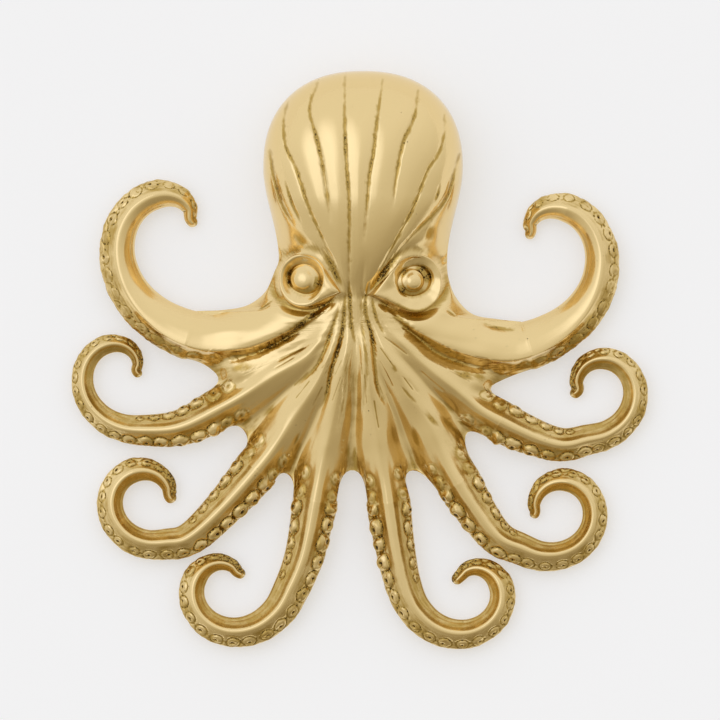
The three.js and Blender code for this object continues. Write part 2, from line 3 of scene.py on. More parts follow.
import bpy
import numpy as np
from mathutils import Matrix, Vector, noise


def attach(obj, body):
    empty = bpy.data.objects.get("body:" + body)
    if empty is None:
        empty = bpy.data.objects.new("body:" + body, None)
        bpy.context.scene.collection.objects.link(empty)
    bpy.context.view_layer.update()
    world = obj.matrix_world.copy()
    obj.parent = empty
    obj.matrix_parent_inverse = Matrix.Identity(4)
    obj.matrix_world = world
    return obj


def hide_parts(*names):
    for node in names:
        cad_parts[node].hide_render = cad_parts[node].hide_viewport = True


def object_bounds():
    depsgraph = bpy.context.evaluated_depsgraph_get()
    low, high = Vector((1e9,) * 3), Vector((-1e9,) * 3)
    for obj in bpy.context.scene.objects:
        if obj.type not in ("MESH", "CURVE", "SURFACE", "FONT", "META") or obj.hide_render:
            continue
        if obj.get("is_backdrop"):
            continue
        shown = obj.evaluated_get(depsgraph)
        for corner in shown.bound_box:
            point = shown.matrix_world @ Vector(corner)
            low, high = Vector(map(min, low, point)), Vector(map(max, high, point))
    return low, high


# Cast brass octopus paperweight on felt pads, seen from straight above.
# Shapes are worked out in millimetres, +Y towards the top of the mantle, and written in metres.

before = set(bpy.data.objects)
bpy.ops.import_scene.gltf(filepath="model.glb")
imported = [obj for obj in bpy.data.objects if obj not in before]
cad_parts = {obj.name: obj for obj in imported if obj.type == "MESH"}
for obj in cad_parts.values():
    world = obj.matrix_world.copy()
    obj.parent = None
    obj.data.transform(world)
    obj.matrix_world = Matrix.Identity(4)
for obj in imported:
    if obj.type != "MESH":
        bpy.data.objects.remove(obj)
cad_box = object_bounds()

MM = 0.001

# Heights
FELT_THICK = 0.9
BASE = FELT_THICK + 0.3
MANTLE_HEIGHT = 27
BROW_HEIGHT = 18.5
MANTLE_RIM = 8
WEB_RIM = 4.5
WEB_SLOPE = 0.3
FLUTE_SWELL = 1.8
FLUTE_DEPTH = 3.6
FLUTE_FALL = (0.18, 0.92)
FLUTE_FALL_EASE = 0.75
FLUTE_EDGE_FALL = 1.2
FLUTE_FORMED = (0.6, 1)
UPPER_FLUTE_FORMED = (0.1, 0.8)
BROW_MERGE = 1.4
BLEND = 0.7
SHOULDER_BLEND = 2
SHOULDER_Y = 17
SHOULDER_SPREAD = 7
WEB_MIDDLE = (0, -10)
WEB_BLEND = 0.5
WEB_SPREAD = 13
WEB_SAG = 0.02
BROW_PINCH = 1.3
WEB_RISE = 0.8
FINISH_DEPTH = 0.026
FINISH_WAVES = 6
FINISH_LENGTH = 11

# Mantle and head, seen from above
MANTLE_X = 0.8
MANTLE_TOP = 76
MANTLE_WIDE_Y = 50.6
MANTLE_WIDTH = 52.5
SQUARENESS = 2.3
CROWN_SQUARENESS = 2.4
MANTLE_CROWN_Y = 43
CROWN_ROUND_OFF = 0.5
NECK_ROUND_OFF = 0.82
MANTLE_EDGE_FALL = 2
NECK_Y = 26.4
NECK_WIDTH = 44.3
BROW_Y = 14
MANTLE_TUCK = 3.5
WEB_TUCK = 0.5
SHOULDER_ROUND = 7
SHOULDER_LEAD = 5
NOTCH_ROUND = 3
NOTCH_STRAIGHT = 0.4
CAP_BLEND = 0.7
POLE = np.array([-0.5, 9.8])

# Arms
RIDGE_RATIO = 1.45
TIP_RUN = 16
TIP_TAPER = 1.3
FLUTE_HALF_AT_BROW = 1.4
FLUTE_SPREAD_EASE = 0.8
UPPER_BROW_LEAN = 0.8
UPPER_SPREAD = 1.7
UPPER_COVE = 0.5
CURL_FORMED = (0.05, 0.4)
LEAN_RUN = 0.45
SPIRAL_STEP = 22
# Tones of the flanks beside the crest: tarnish and painted shade
OUTER_TONE = 0.4
INNER_TONE = 0.38
SEAT_IN_BODY = 1.0

# Suckers, in rows along the outer and the inner edge
FIRST_SUCKER = 1
BARE_TIP = 3
SUCKER_LEAST = 0.45
SUCKER_SHARE = 0.2
SUCKER_PITCH = 3.05
INNER_SUCKERS = 5
INNER_SUCKER_STEP = 1.5
INNER_SUCKER_SIZE = 0.8
INNER_SUCKER_LOSS = 0.06
SUCKER_GRAIN = 1.7
SUCKER_LENGTH = 1.3
ROOT_SUCKER_PITCH = 4.6
ROOT_SUCKER_START = 2
ROOT_SUCKER_OUT = 0.8

# Half sections of an arm from the crest to its edge: shares of the half-width and of the height
ROOT_SIDE = [(0.16, 0.96), (0.43, 0.775), (0.71, 0.62), (1, 0.42), (0.92, 0)]
STEP_SIDE = [(0.12, 0.96), (0.34, 0.75), (0.65, 0.6), (1, 0.4), (0.92, 0)]
BROAD_SIDE = [(0.2, 0.985), (0.5, 0.9), (0.8, 0.68), (1, 0.4), (0.92, 0)]
FLANGE_SIDE = [(0.14, 0.965), (0.4, 0.8), (0.7, 0.64), (1, 0.46), (0.94, 0)]
COVE_SIDE = [(0.14, 0.965), (0.42, 0.79), (0.74, 0.61), (1, 0.44), (0.95, 0)]

# Eyes
EYE_RADIUS = 4.6
EYE_TILT = 16
EYE_SINK = 0.4
SOCKET_DEPTH = 3.2
LID_RADIUS = 6.1
EYE_STRETCH = 0.42
TROUGH_OUT = 2.2
TROUGH_WIDTH = 1.6
TROUGH_DEPTH = (0.7, 1.7)
TROUGH_DARK = (0.35, 0.54)

# Bottoms of the notches between the arms, left to right
NOTCHES = [
    (-38.3, -3.2), (-30.3, -19), (-18.9, -30.2), (-2, -29), (13.7, -29.1), (27.7, -20.5), (35.8, -6.1),
]
LEFT_SHOULDER = [(-22.6, 23), (-25, 17.9), (-29.5, 14.5), (-36, 13.2)]
RIGHT_SHOULDER = [(23.2, 22), (25.2, 16.6), (29.5, 12.2), (36, 10.8)]

# Rises of the web between the upper and the side arms
FILL_TOP = 15.2
FILL_FOOT = 9.4
FILL_FALL = 0.12
FILL_STEPS = 60
LEFT_FILL = [(-9, 9.4), (-16.5, 4.6), (-24, 0.7), (-31, -2.6)]
RIGHT_FILL = [(9, 8.6), (16, 3), (22.5, -1.5), (29, -5)]

# Engraved lines of the mantle, left to right
GROOVES = [
    [(-23.7, 55), (-22.4, 47.5), (-20.3, 40.5), (-17.5, 35.5)],
    [(-19, 67.5), (-20, 62), (-19.5, 56), (-17, 50.5), (-13.2, 39.5), (-9, 30), (-5.5, 23)],
    [(-11, 72.5), (-13.2, 66), (-11.5, 58.5), (-10.3, 53.5), (-9, 46), (-7.7, 36.5)],
    [(-4, 74), (-4, 64), (-3.6, 52), (-3, 44), (-2.8, 35.5), (-2.9, 21)],
    [(6, 73.5), (4.9, 66), (3.5, 54.5), (2.4, 47.5), (1.8, 40), (1.1, 32)],
    [(15.2, 70.5), (14, 63), (11.6, 57.5), (10, 51), (9, 44.5), (8.7, 40.5)],
    [(22, 64.5), (22, 59), (20.3, 53.5), (17.7, 49.5), (14, 40), (9, 30.5), (3.8, 21)],
    [(26, 54), (24.5, 48.5), (22.7, 42.7), (19.5, 38.5), (15.6, 34.6), (9.5, 28)],
]


# Lines and blends

def mix(a, b, share):
    return a + (b - a) * share


def smoothstep(value, low, high):
    share = np.clip((value - low) / (high - low), 0, 1)
    return share * share * (3 - 2 * share)


def bump(distance, width):
    return np.exp(-((distance / width) ** 2))


def turned_from(turn, middle):
    return np.abs((turn - middle + np.pi) % (2 * np.pi) - np.pi)


SPAN_STEPS = 24


def smooth_line(points):
    """Dense line through the points, rounded without loops."""
    p = np.array(points, float)
    p = np.vstack([2 * p[0] - p[1], p, 2 * p[-1] - p[-2]])
    t = np.linspace(0, 1, SPAN_STEPS, endpoint=False)[:, None]
    spans = []
    for a, b, c, d in zip(p, p[1:], p[2:], p[3:]):
        before, here, after = [np.sqrt(np.linalg.norm(v)) for v in (b - a, c - b, d - c)]
        leave = here * ((b - a) / before - (c - a) / (before + here) + (c - b) / here)
        arrive = here * ((c - b) / here - (d - b) / (here + after) + (d - c) / after)
        spans.append(
            b * (1 - 3 * t**2 + 2 * t**3) + c * (3 * t**2 - 2 * t**3)
            + leave * (t - 2 * t**2 + t**3) + arrive * (t**3 - t**2)
        )
    return np.vstack([*spans, p[-2:-1]])


def lengths(line):
    return np.concatenate([[0], np.cumsum(np.linalg.norm(np.diff(line, axis=0), axis=1))])


def read_at(s, marks, values):
    return np.stack([np.interp(s, marks, column) for column in values.T], axis=-1)


def spaced(line, count):
    """The line at evenly spaced lengths."""
    marks = lengths(line)
    return read_at(np.linspace(0, marks[-1], count), marks, line)


def to_pole(plan):
    return (POLE - plan) / np.linalg.norm(POLE - plan, axis=-1, keepdims=True)


def polar(x, y, middle):
    dx, dy = x - middle[0], y - middle[1]
    return np.hypot(dx, dy), np.arctan2(dy, dx)


def spline_weights(controls, divisions, underside=0):
    """Weights that turn a row of control points into a smooth row of surface points."""
    rows = []
    for span, parts in enumerate(divisions):
        for t in np.arange(parts) / parts:
            row = np.zeros(controls)
            basis = [-t + 2 * t**2 - t**3, 2 - 5 * t**2 + 3 * t**3, t + 4 * t**2 - 3 * t**3, t**3 - t**2]
            for k, weight in zip(range(span - 1, span + 3), basis):
                row[min(max(k, 0), controls - 1)] += weight / 2
            rows.append(row)
    rows.append(np.eye(controls)[-1])
    for t in np.arange(1, underside) / max(underside, 1):
        rows.append(mix(np.eye(controls)[-1], np.eye(controls)[0], t))
    return np.array(rows)


def grain(points, pitch):
    """Smooth noise over points in millimetres, from -1 to 1."""
    flat = points.reshape(-1, 3) / pitch
    return np.array([noise.noise(p) for p in flat.tolist()]).reshape(points.shape[:-1])


def flat_points(x, y):
    return np.stack([x, y, np.zeros_like(x)], axis=-1)


def sucker_dome(far):
    """Rounded height of a sucker, over the distance from its middle."""
    return np.clip(1 - far**2, 0, 1) ** 0.75


# Arms: each runs from the brow through its reach points and then round a spiral curl

SECTION_PARTS = [5, 8, 9, 8, 6, 6, 9, 11, 12, 6]
SECTION = spline_weights(11, SECTION_PARTS, underside=10)
CAP = spline_weights(11, [0, 3, 4, 4, 3, 3, 4, 4, 3, 0])
CREST_COLUMN = sum(SECTION_PARTS[:5])
OUTER_SEAT_COLUMN = sum(SECTION_PARTS[:8])
INNER_SEAT_COLUMN = sum(SECTION_PARTS[:2])


class Arm:
    def __init__(self, name, joint, half, taper, reach, curl, tip, lean, flanged=True):
        x, y, start, sweep, wide, tight, ease = curl
        turns = np.linspace(0, 1, round(abs(sweep) / SPIRAL_STEP) + 1)
        angle = np.radians(start + sweep * turns)
        radius = mix(wide, tight, turns**ease)
        spiral = np.stack([x + radius * np.cos(angle), y + radius * np.sin(angle)], axis=1)
        self.name = name
        self.joint = joint
        self.half = half
        self.taper = taper
        self.lean = lean
        self.flanged = flanged
        self.root_sides = (ROOT_SIDE, ROOT_SIDE) if flanged else (STEP_SIDE, BROAD_SIDE)
        self.brow_lean, self.spread = (0, 1) if flanged else (UPPER_BROW_LEAN, UPPER_SPREAD)
        self.line = smooth_line(np.vstack([reach, spiral, tip]))
        self.marks = lengths(self.line)
        self.length = self.marks[-1]
        self.free = self.length - joint
        self.side = -np.sign(sweep)
        tangent = np.gradient(self.line, self.marks, axis=0)
        self.tangent = tangent / np.linalg.norm(tangent, axis=1)[:, None]

    def at(self, s):
        origin = read_at(s, self.marks, self.line)
        along = read_at(s, self.marks, self.tangent)
        outer = np.stack([-along[..., 1], along[..., 0]], axis=-1) * self.side
        return origin, along, outer

    def past(self, s):
        return np.clip((s - self.joint) / self.free, 0, 1)

    def half_at(self, s):
        root, curled, tip = self.half
        body = curled + (root - curled) * (1 - self.past(s)) ** self.taper
        ending = np.clip((s - self.length + TIP_RUN) / TIP_RUN, 0, 1)
        return tip + (body - tip) * (1 - ending**TIP_TAPER)

    def lean_at(self, s):
        """Place of the crest across the arm, as a share of the half-width towards the outer edge."""
        return mix(*self.lean, smoothstep(self.past(s), 0, LEAN_RUN))

    def flute_half(self, share):
        """Half-width of the arm's flute in the web, at a share of the way to the joint."""
        spread = np.minimum(1, self.spread * share) ** FLUTE_SPREAD_EASE
        return mix(FLUTE_HALF_AT_BROW, self.half[0], spread)

    def section(self, s, weights):
        """Points of the cross sections at the lengths s, from the inner underside over the crest."""
        curled = smoothstep(self.past(s), *CURL_FORMED)[:, None, None]
        lean = self.lean_at(s)[:, None]
        outer = mix(np.array(self.root_sides[0]), np.array(FLANGE_SIDE), curled)
        coved = curled if self.flanged else UPPER_COVE * curled
        inner = mix(np.array(self.root_sides[1]), np.array(COVE_SIDE), coved)[:, ::-1]
        inner = np.stack([lean - (1 + lean) * inner[..., 0], inner[..., 1]], axis=2)
        crest = np.stack([lean, np.ones_like(lean)], axis=2)
        outer = np.stack([lean + (1 - lean) * outer[..., 0], outer[..., 1]], axis=2)
        control = np.concatenate([inner, crest, outer], axis=1)
        half = self.half_at(s)
        rounding = np.sqrt(1 - np.clip((s - self.length + self.half[2]) / self.half[2], 0, 1) ** 2)
        scale = np.stack([half * rounding, RIDGE_RATIO * half * rounding], axis=1)
        across, height = np.moveaxis(np.einsum("ck,rkd->rcd", weights, control) * scale[:, None, :], 2, 0)
        origin, _, out = self.at(s)
        plan = origin[:, None, :] + across[:, :, None] * out[:, None, :]
        return np.concatenate([plan, (BASE + np.maximum(height, 0))[:, :, None]], axis=2)

    def suckers(self):
        """Length, side and radius of each sucker."""
        s = self.joint + FIRST_SUCKER
        row = 0
        while s < self.length - BARE_TIP:
            radius = SUCKER_LEAST + SUCKER_SHARE * float(self.half_at(s))
            yield s, 1, radius
            if self.flanged and row < INNER_SUCKERS:
                yield s + INNER_SUCKER_STEP, -1, radius * (INNER_SUCKER_SIZE - INNER_SUCKER_LOSS * row)
            s += SUCKER_PITCH * radius
            row += 1


ARMS = [
    Arm("upper_left", 37.5, (6.6, 3.65, 1.1), 1.7, [(-9, 14.5), (-19, 10.8), (-31, 6.9)],
        (-46.4, 35.2, -81, -231, 29.7, 2.6, 0.84), (-43.3, 35.3), (0.4, -0.05), flanged=False),
    Arm("side_left", 46, (5.65, 2.4, 1.1), 2.1,
        [(-4.5, 15), (-8, 9), (-13, 1.8), (-22.4, -4.2), (-35.5, -12.2)],
        (-62.6, -2.6, -45, -318, 21.5, 3.6, 0.54), (-57.8, -4.3), (-0.05, 0)),
    Arm("lower_left", 50, (6.1, 3.2, 1.4), 2.4,
        [(-3.4, 14.5), (-6, 6.6), (-10.4, -4), (-18, -16), (-25.2, -26.4)],
        (-56.3, -36.5, -44, -311, 15.5, 6.3, 0.51), (-48.8, -37.3), (0, -0.15)),
    Arm("front_left", 51, (5.95, 2.9, 1.2), 1.4,
        [(-2.6, 13), (-3.7, 1), (-6.2, -12), (-9, -23), (-11, -33)],
        (-35.5, -59.4, 20, -334, 22.1, 4.8, 0.49), (-30.3, -56.8), (0, -0.1)),
    Arm("front_right", 51, (5.85, 3, 1.3), 1.5,
        [(0.4, 13), (1.6, 1), (3.2, -12), (5, -23), (6.8, -33)],
        (29.1, -60.1, 153, 334, 22.2, 4.2, 0.53), (24.6, -58.8), (0, -0.1)),
    Arm("lower_right", 52.5, (6.1, 3, 1.2), 2.5,
        [(1.6, 14), (4.8, 6), (9.5, -3), (17, -15), (24, -29)],
        (52.2, -39.4, -155, 343, 17.6, 6.2, 0.45), (45.2, -41.5), (0, -0.15)),
    Arm("side_right", 46, (5.65, 2.8, 1.3), 2,
        [(3, 14.5), (8, 7.6), (15, 0.4), (24.5, -7.6), (33.2, -14.2)],
        (62.7, -7.1, -124, 313, 18.3, 5.4, 0.44), (55.6, -9.5), (-0.05, 0)),
    Arm("upper_right", 38.5, (6.5, 3.55, 1.1), 1.7, [(8, 13.5), (18, 9.3), (29, 5)],
        (46.7, 32.1, -102, 238, 29.7, 2.4, 0.81), (44.3, 31.9), (0.4, -0.05), flanged=False),
]


# Height of the body casting over the table

def mantle_half(y):
    full = MANTLE_WIDTH / 2
    rise = np.clip((y - MANTLE_WIDE_Y) / (MANTLE_TOP - MANTLE_WIDE_Y), 0, 1)
    upper = full * (1 - rise**SQUARENESS) ** (1 / SQUARENESS)
    lower = mix(NECK_WIDTH / 2, full, smoothstep(y, NECK_Y, MANTLE_WIDE_Y))
    return np.where(y >= MANTLE_WIDE_Y, upper, lower)


def mantle_crown(y):
    rise = np.clip((y - MANTLE_CROWN_Y) / (MANTLE_TOP - MANTLE_CROWN_Y), 0, 1)
    upper = mix(MANTLE_RIM, MANTLE_HEIGHT, np.sqrt(1 - rise**CROWN_SQUARENESS))
    run = MANTLE_CROWN_Y - BROW_Y
    fall = np.clip((MANTLE_CROWN_Y - y) / run, 0, 1)
    lower = mix(MANTLE_HEIGHT, BROW_HEIGHT, smoothstep(fall, 0, 1))
    lower = lower + WEB_SLOPE * run * fall**2 * (1 - fall)
    under = np.maximum(0, BROW_Y - y)
    lower = lower - WEB_SLOPE * under - WEB_SAG * under**2
    return np.where(y > MANTLE_CROWN_Y, upper, lower)


def mantle_field(x, y):
    half = np.maximum(0.1, mantle_half(y))
    off = np.abs(x - MANTLE_X)
    crown = mantle_crown(y)
    rim = np.minimum(MANTLE_RIM, crown)
    share = np.minimum(1, off / half)
    round_off = mix(NECK_ROUND_OFF, CROWN_ROUND_OFF, smoothstep(y, NECK_Y, MANTLE_CROWN_Y))
    domed = rim + (crown - rim) * (1 - share**CROWN_SQUARENESS) ** round_off
    return domed - MANTLE_EDGE_FALL * np.maximum(0, off - half)


def half_profile(side):
    """Smooth across and height shares of one side of a section, from the crest to its edge."""
    across, height = side[0]
    control = np.array([(-across, height), (0, 1), *side])
    return (spline_weights(7, [0, 8, 8, 8, 8, 0]) @ control)[:-1].T


def nearest_on(line, x, y):
    """Index of the nearest point of the line, and the offsets from it."""
    best = np.full(x.shape, np.inf)
    index = np.zeros(x.shape, int)
    for i, (px, py) in enumerate(line):
        distance = (x - px) ** 2 + (y - py) ** 2
        index[distance < best] = i
        best = np.minimum(best, distance)
    return index, x - line[index, 0], y - line[index, 1]


def flute_place(arm, x, y):
    """Share of the way to the joint, distance from the middle, half-width, side and reach to the edge."""
    samples = np.linspace(0, arm.joint, 61)
    origin, along, outer = arm.at(samples)
    index, dx, dy = nearest_on(origin, x, y)
    ahead = dx * along[index, 0] + dy * along[index, 1]
    across = dx * outer[index, 0] + dy * outer[index, 1]
    raw = (samples[index] + ahead) / arm.joint
    share = np.clip(raw, 0, 1)
    away = np.hypot(across, (raw - share) * arm.joint)
    half = arm.flute_half(share)
    lean = mix(arm.brow_lean, arm.lean[0], share)
    side = np.copysign(away, across) / half - lean
    reach = np.minimum(1, np.where(side > 0, side / (1 - lean), -side / (1 + lean)))
    return share, away, half, side, reach


def flute_field(arm, x, y):
    share, away, half, side, reach = flute_place(arm, x, y)
    fallen = mix(share**FLUTE_FALL_EASE, smoothstep(share, *FLUTE_FALL), FLUTE_FALL_EASE)
    ridge = mix(BROW_HEIGHT - BASE - BROW_MERGE, RIDGE_RATIO * arm.half[0], fallen)
    to_edge, to_heart = [np.interp(reach, *half_profile(half_side)) for half_side in arm.root_sides]
    flank = np.where(side > 0, to_edge, to_heart)
    swell = mix(FLUTE_SWELL, FLUTE_DEPTH, share) * reach**1.5
    formed = smoothstep(share, *(FLUTE_FORMED if arm.flanged else UPPER_FLUTE_FORMED))
    fall = mix(swell, ridge * (1 - flank), formed) + FLUTE_EDGE_FALL * np.maximum(0, away - half)
    return BASE + ridge - fall


def flank_tone(x, y):
    """How dark the flanks of the flutes are painted, more towards the arms: tarnish and painted shade."""
    tone = np.zeros_like(x)
    for arm in ARMS:
        share, away, half, side, reach = flute_place(arm, x, y)
        near = smoothstep(share, 0.7, 1) * smoothstep(reach, 0.11, 0.36) * (away < 1.15 * half)
        inner = INNER_TONE if arm.flanged else 0
        tone = np.maximum(tone, near * np.where(side > 0, OUTER_TONE, inner))
    return tone


def web_fill(points, x, y):
    """Low rise of the web along the foot of an upper arm."""
    path = spaced(smooth_line(points), FILL_STEPS)
    index, dx, dy = nearest_on(path, x, y)
    return mix(FILL_TOP, FILL_FOOT, index / (FILL_STEPS - 1)) - FILL_FALL * (dx**2 + dy**2)


def casting_height(x, y):
    web = BROW_HEIGHT - BROW_MERGE - WEB_SLOPE * np.hypot(x, y - BROW_Y)
    fills = [web_fill(points, x, y) for points in (LEFT_FILL, RIGHT_FILL)]
    fields = np.stack([web, mantle_field(x, y), *fills, *[flute_field(arm, x, y) for arm in ARMS]])
    top = fields.max(axis=0)
    off_shoulder = np.hypot(np.abs(x - MANTLE_X) - NECK_WIDTH / 2, y - SHOULDER_Y)
    blend = BLEND + SHOULDER_BLEND * bump(off_shoulder, SHOULDER_SPREAD)
    blend = blend + WEB_BLEND * bump(polar(x, y, WEB_MIDDLE)[0], WEB_SPREAD)
    return top + blend * np.log(np.exp((fields - top) / blend).sum(axis=0))


# Eyes

class Eye:
    def __init__(self, name, x, y, corner, boss, boss_shift, ridge, stains):
        self.name = name
        self.ridge, self.ridge_turn = ridge
        self.stains = stains
        self.boss = boss
        self.boss_shift = boss_shift
        self.x = x
        self.y = y
        self.corner = corner
        self.reach, self.turn = polar(*corner, (x, y))
        self.tilt = radians(EYE_TILT) * np.sign(x)
        self.z = float(casting_height(np.array([x]), np.array([y]))[0]) - EYE_SINK

    def lid_radius(self, turn, radius=LID_RADIUS, share=1):
        """Reach of a ring that runs out to a share of the corner in straight lines."""
        off = turned_from(turn, self.turn)
        spread = np.arccos(np.minimum(1, radius / (radius + share * (self.reach - LID_RADIUS))))
        return np.where(off < spread, radius / np.cos(np.minimum(spread - off, 1.5)), radius)

    def stained(self, turn, width):
        return np.maximum.reduce([bump(turned_from(turn, middle), width) for middle in self.stains])

    def place(self, points):
        """Points given round the eye, in millimetres, turned and set in the head."""
        turn = np.array(Matrix.Rotation(self.tilt, 3, "Y"))
        return points @ turn.T + [self.x, self.y, self.z]


EYES = [
    Eye("left_eyeball", -14.8, 21.3, (-5.1, 17.8), 3.2, -0.1, (0.2, 1.2), (2.8, 3.4, -0.3)),
    Eye("right_eyeball", 14.4, 20.8, (3.9, 17.4), 2.7, -0.5, (0.5, 2.5), (0.3, 0.9, 2.4, 3.9)),
]


# Carving of the head and web

# Lines of the web: points, depth, width, how dark
WEB_LINES = [
    ([(-5.8, 16.9), (-11.6, 12.4), (-16.4, 8.4), (-23.5, 3.7), (-31.7, 0.3)], 0.7, 0.8, 0.8),
    ([(5, 15.5), (10.9, 10), (20, 1.9), (27, -1.1), (33, -2.5)], 0.6, 0.8, 0.66),
    ([(-4.6, 16.5), (-7.4, 7.9), (-9.8, 1.3), (-12.4, -2.9), (-17.4, -6.9)], 0.4, 0.45, 0.7),
    ([(-3.7, 18), (-4.6, 8), (-5.8, 2.9), (-7.4, -2.1), (-9, -10), (-10.3, -12.7)], 0.5, 0.5, 0.85),
    ([(-3, 4), (-3.4, 0), (-4.2, -10), (-5.8, -18.2)], 0.35, 0.6, 0.35),
    ([(-2.9, 21), (-2.6, 15), (-2.2, 9), (-1.3, 4.5)], 0.4, 0.45, 0.8),
    ([(-1.3, 4.5), (-2.6, -2.1), (-3.4, -14.3)], 0.3, 0.6, 0.3),
    ([(1, 25), (0.4, 17), (0.3, 12), (1.8, -2.1), (0.3, -16.1)], 0.3, 0.5, 0.4),
    ([(2.2, 20), (1.4, 13), (3.2, 6.1), (4, -2.1), (4.8, -8.2), (6.6, -11.3)], 0.45, 0.45, 0.8),
    ([(2.9, 17), (4.4, 10.5), (6.3, 6.9)], 0.3, 0.4, 0.75),
]
# Short marks without a valley
MARKS = [
    ([(-19.5, 46.7), (-17.8, 41), (-15.6, 36.4)], 0.3, 0.4, 0.6),
    ([(20.8, 45.7), (20.3, 43.5), (19.5, 41.2)], 0.25, 0.35, 0.5),
    ([(-17.5, 33.5), (-15.6, 31.4), (-14.4, 30)], 0.25, 1.2, 0.55),
    ([(18, 35), (18.5, 33), (18, 31)], 0.25, 1.2, 0.5),
    ([(-27.2, 12.7), (-24.8, 14.2), (-21.9, 16.6)], 0.15, 0.3, 0.5),
    ([(22.7, 13.2), (24.2, 12), (25.4, 11.3)], 0.15, 0.3, 0.5),
    ([(3.2, 18.4), (5.4, 21.8), (8, 25.2), (10.6, 28.4)], 0.8, 0.9, 0.72),
    ([(-10, 29.4), (-8.2, 26), (-6.4, 22.4), (-4.6, 18.4)], 0.5, 0.8, 0.74),
    ([(-19.4, 26.8), (-17.4, 28.6), (-14.8, 29.6)], 0.5, 0.7, 0.5),
    ([(10.8, -6.9), (12.6, -9), (14.8, -11.3)], 0.12, 0.35, 0.55),
    ([(8.7, -1.3), (9.1, -2.4), (9.5, -3.7)], 0.1, 0.5, 0.45),
    # Broad trough down the middle of the web; its darkening is painted shade
    ([(-1.6, 5), (-2, -4), (-2, -14), (-2, -24)], 0.8, 2.2, 0.28),
    ([(32.5, 9.6), (35.5, 8.6), (38.5, 8), (41.5, 7.8)], 0.3, 0.4, 0.55),
]
GROOVE_DEPTH = 0.42
GROOVE_WIDTH = 0.46
GROOVE_SHADE = 0.62
GROOVE_VALLEY = 2
GROOVE_SINK = 0.8
WEB_LINE_SINK = 0.9
LINE_STEPS = 90
LINE_END = 0.97
LINE_DARK = 1.2
LINE_DARK_WIDTH = 1.3
NARROW_LINE = 1
RAGGED = 0.45
RAGGED_PITCH = 0.8
LINE_WEAR = 0.5
LINE_WEAR_PITCH = 2.6


def groove_marks(x, y):
    """Depth of the engraved lines and how dark they are."""
    depth, dark = np.zeros((2, *x.shape))
    lines = [(line, GROOVE_DEPTH, GROOVE_WIDTH, GROOVE_SHADE, GROOVE_SINK, 0.1) for line in GROOVES]
    lines += [(*line, WEB_LINE_SINK, 0.02) for line in WEB_LINES] + [(*line, 0, 0.05) for line in MARKS]
    ragged = 1 + RAGGED * grain(flat_points(x, y), RAGGED_PITCH)
    worn = 1 + LINE_WEAR * grain(flat_points(x, y), LINE_WEAR_PITCH)
    for line, deep, width, shade, valley, start in lines:
        path = spaced(smooth_line(line), LINE_STEPS)
        index, dx, dy = nearest_on(path, x, y)
        away = np.hypot(dx, dy)
        edge = away * ragged if width < NARROW_LINE else away
        fade = np.sin(np.pi * mix(start, LINE_END, index / (LINE_STEPS - 1))) ** 0.6
        sunk = bump(edge, width) + valley * bump(away, GROOVE_VALLEY)
        depth = np.maximum(depth, fade * deep * sunk)
        dark = np.maximum(dark, LINE_DARK * fade * shade * worn * bump(edge, LINE_DARK_WIDTH * width))
    return depth, dark


STROKES = 26
STROKE_DEPTH = 0.16
STROKE_MIDDLE = POLE + [0.5, 1]
PITS = 6
PIT_DEPTH = 0.25
NOTCH_TONE = 0.42
NOTCH_TONE_SPREAD = 5


def tool_marks(x, y):
    """Strokes that run out over the web, and pits above its notches: depth and how dark."""
    depth, dark = np.zeros((2, *x.shape))
    chance = np.random.default_rng(7)
    for _ in range(STROKES):
        angle = radians(chance.uniform(205, 340))
        outward = np.array([np.cos(angle), np.sin(angle)])
        start = STROKE_MIDDLE + outward * chance.uniform(8, 22)
        length = chance.uniform(3, 8)
        dx, dy = x - start[0], y - start[1]
        along = np.clip(dx * outward[0] + dy * outward[1], 0, length)
        away = np.hypot(dx - outward[0] * along, dy - outward[1] * along)
        stroke = bump(away, chance.uniform(0.14, 0.28))
        depth = np.maximum(depth, STROKE_DEPTH * stroke)
        dark = np.maximum(dark, chance.uniform(0.25, 0.7) * stroke)
    for bottom in np.array(NOTCHES):
        inward = to_pole(bottom)
        for _ in range(PITS):
            spot = bottom + inward * chance.uniform(0, 9) + chance.normal(0, 1.8, 2)
            size = chance.uniform(0.5, 1)
            dx, dy = x - spot[0], y - spot[1]
            along, across = dx * inward[0] + dy * inward[1], dx * inward[1] - dy * inward[0]
            pit = bump(np.hypot(0.3 * along, across), size)
            depth = np.maximum(depth, PIT_DEPTH * size * pit)
            dark = np.maximum(dark, chance.uniform(0.4, 0.75) * pit)
        dark = np.maximum(dark, NOTCH_TONE * bump(polar(x, y, bottom)[0], NOTCH_TONE_SPREAD))
    return depth, dark


def eye_marks(x, y, height):
    """Head height with the sunk eyes, and how dark the troughs round the lids are painted: patina, with
    painted shade below the eyes.
    """
    dark = np.zeros_like(x)
    for eye in EYES:
        dx, dy = x - eye.x, y - eye.y
        beyond = np.hypot(dx, dy) - eye.lid_radius(np.arctan2(dy, dx))
        below = smoothstep(-dy, -2, 4)
        off_corner = smoothstep(polar(x, y, eye.corner)[0], 0.5, 6)
        trough = bump(beyond - TROUGH_OUT, TROUGH_WIDTH) * mix(0.3, 1, off_corner)
        height = height - mix(*TROUGH_DEPTH, below) * trough
        # Patina in the trough round the lid, with painted shade stronger below the eye
        dark = np.maximum(dark, mix(*TROUGH_DARK, below) * trough)
        floor = eye.z - dx * np.tan(eye.tilt) - SOCKET_DEPTH
        height = mix(height, floor, smoothstep(-beyond, -0.2, 1.1))
    return height, dark


def hand_finish(x, y):
    """Slight unevenness of the web, drawn out along the flutes."""
    far, turn = polar(x, y, POLE)
    wave = grain(flat_points(FINISH_WAVES * turn, far / FINISH_LENGTH), 1)
    shown = smoothstep(-y, -14, -4) * smoothstep(far, 3, 10) * smoothstep(-far, -40, -30)
    return FINISH_DEPTH * far * wave * shown


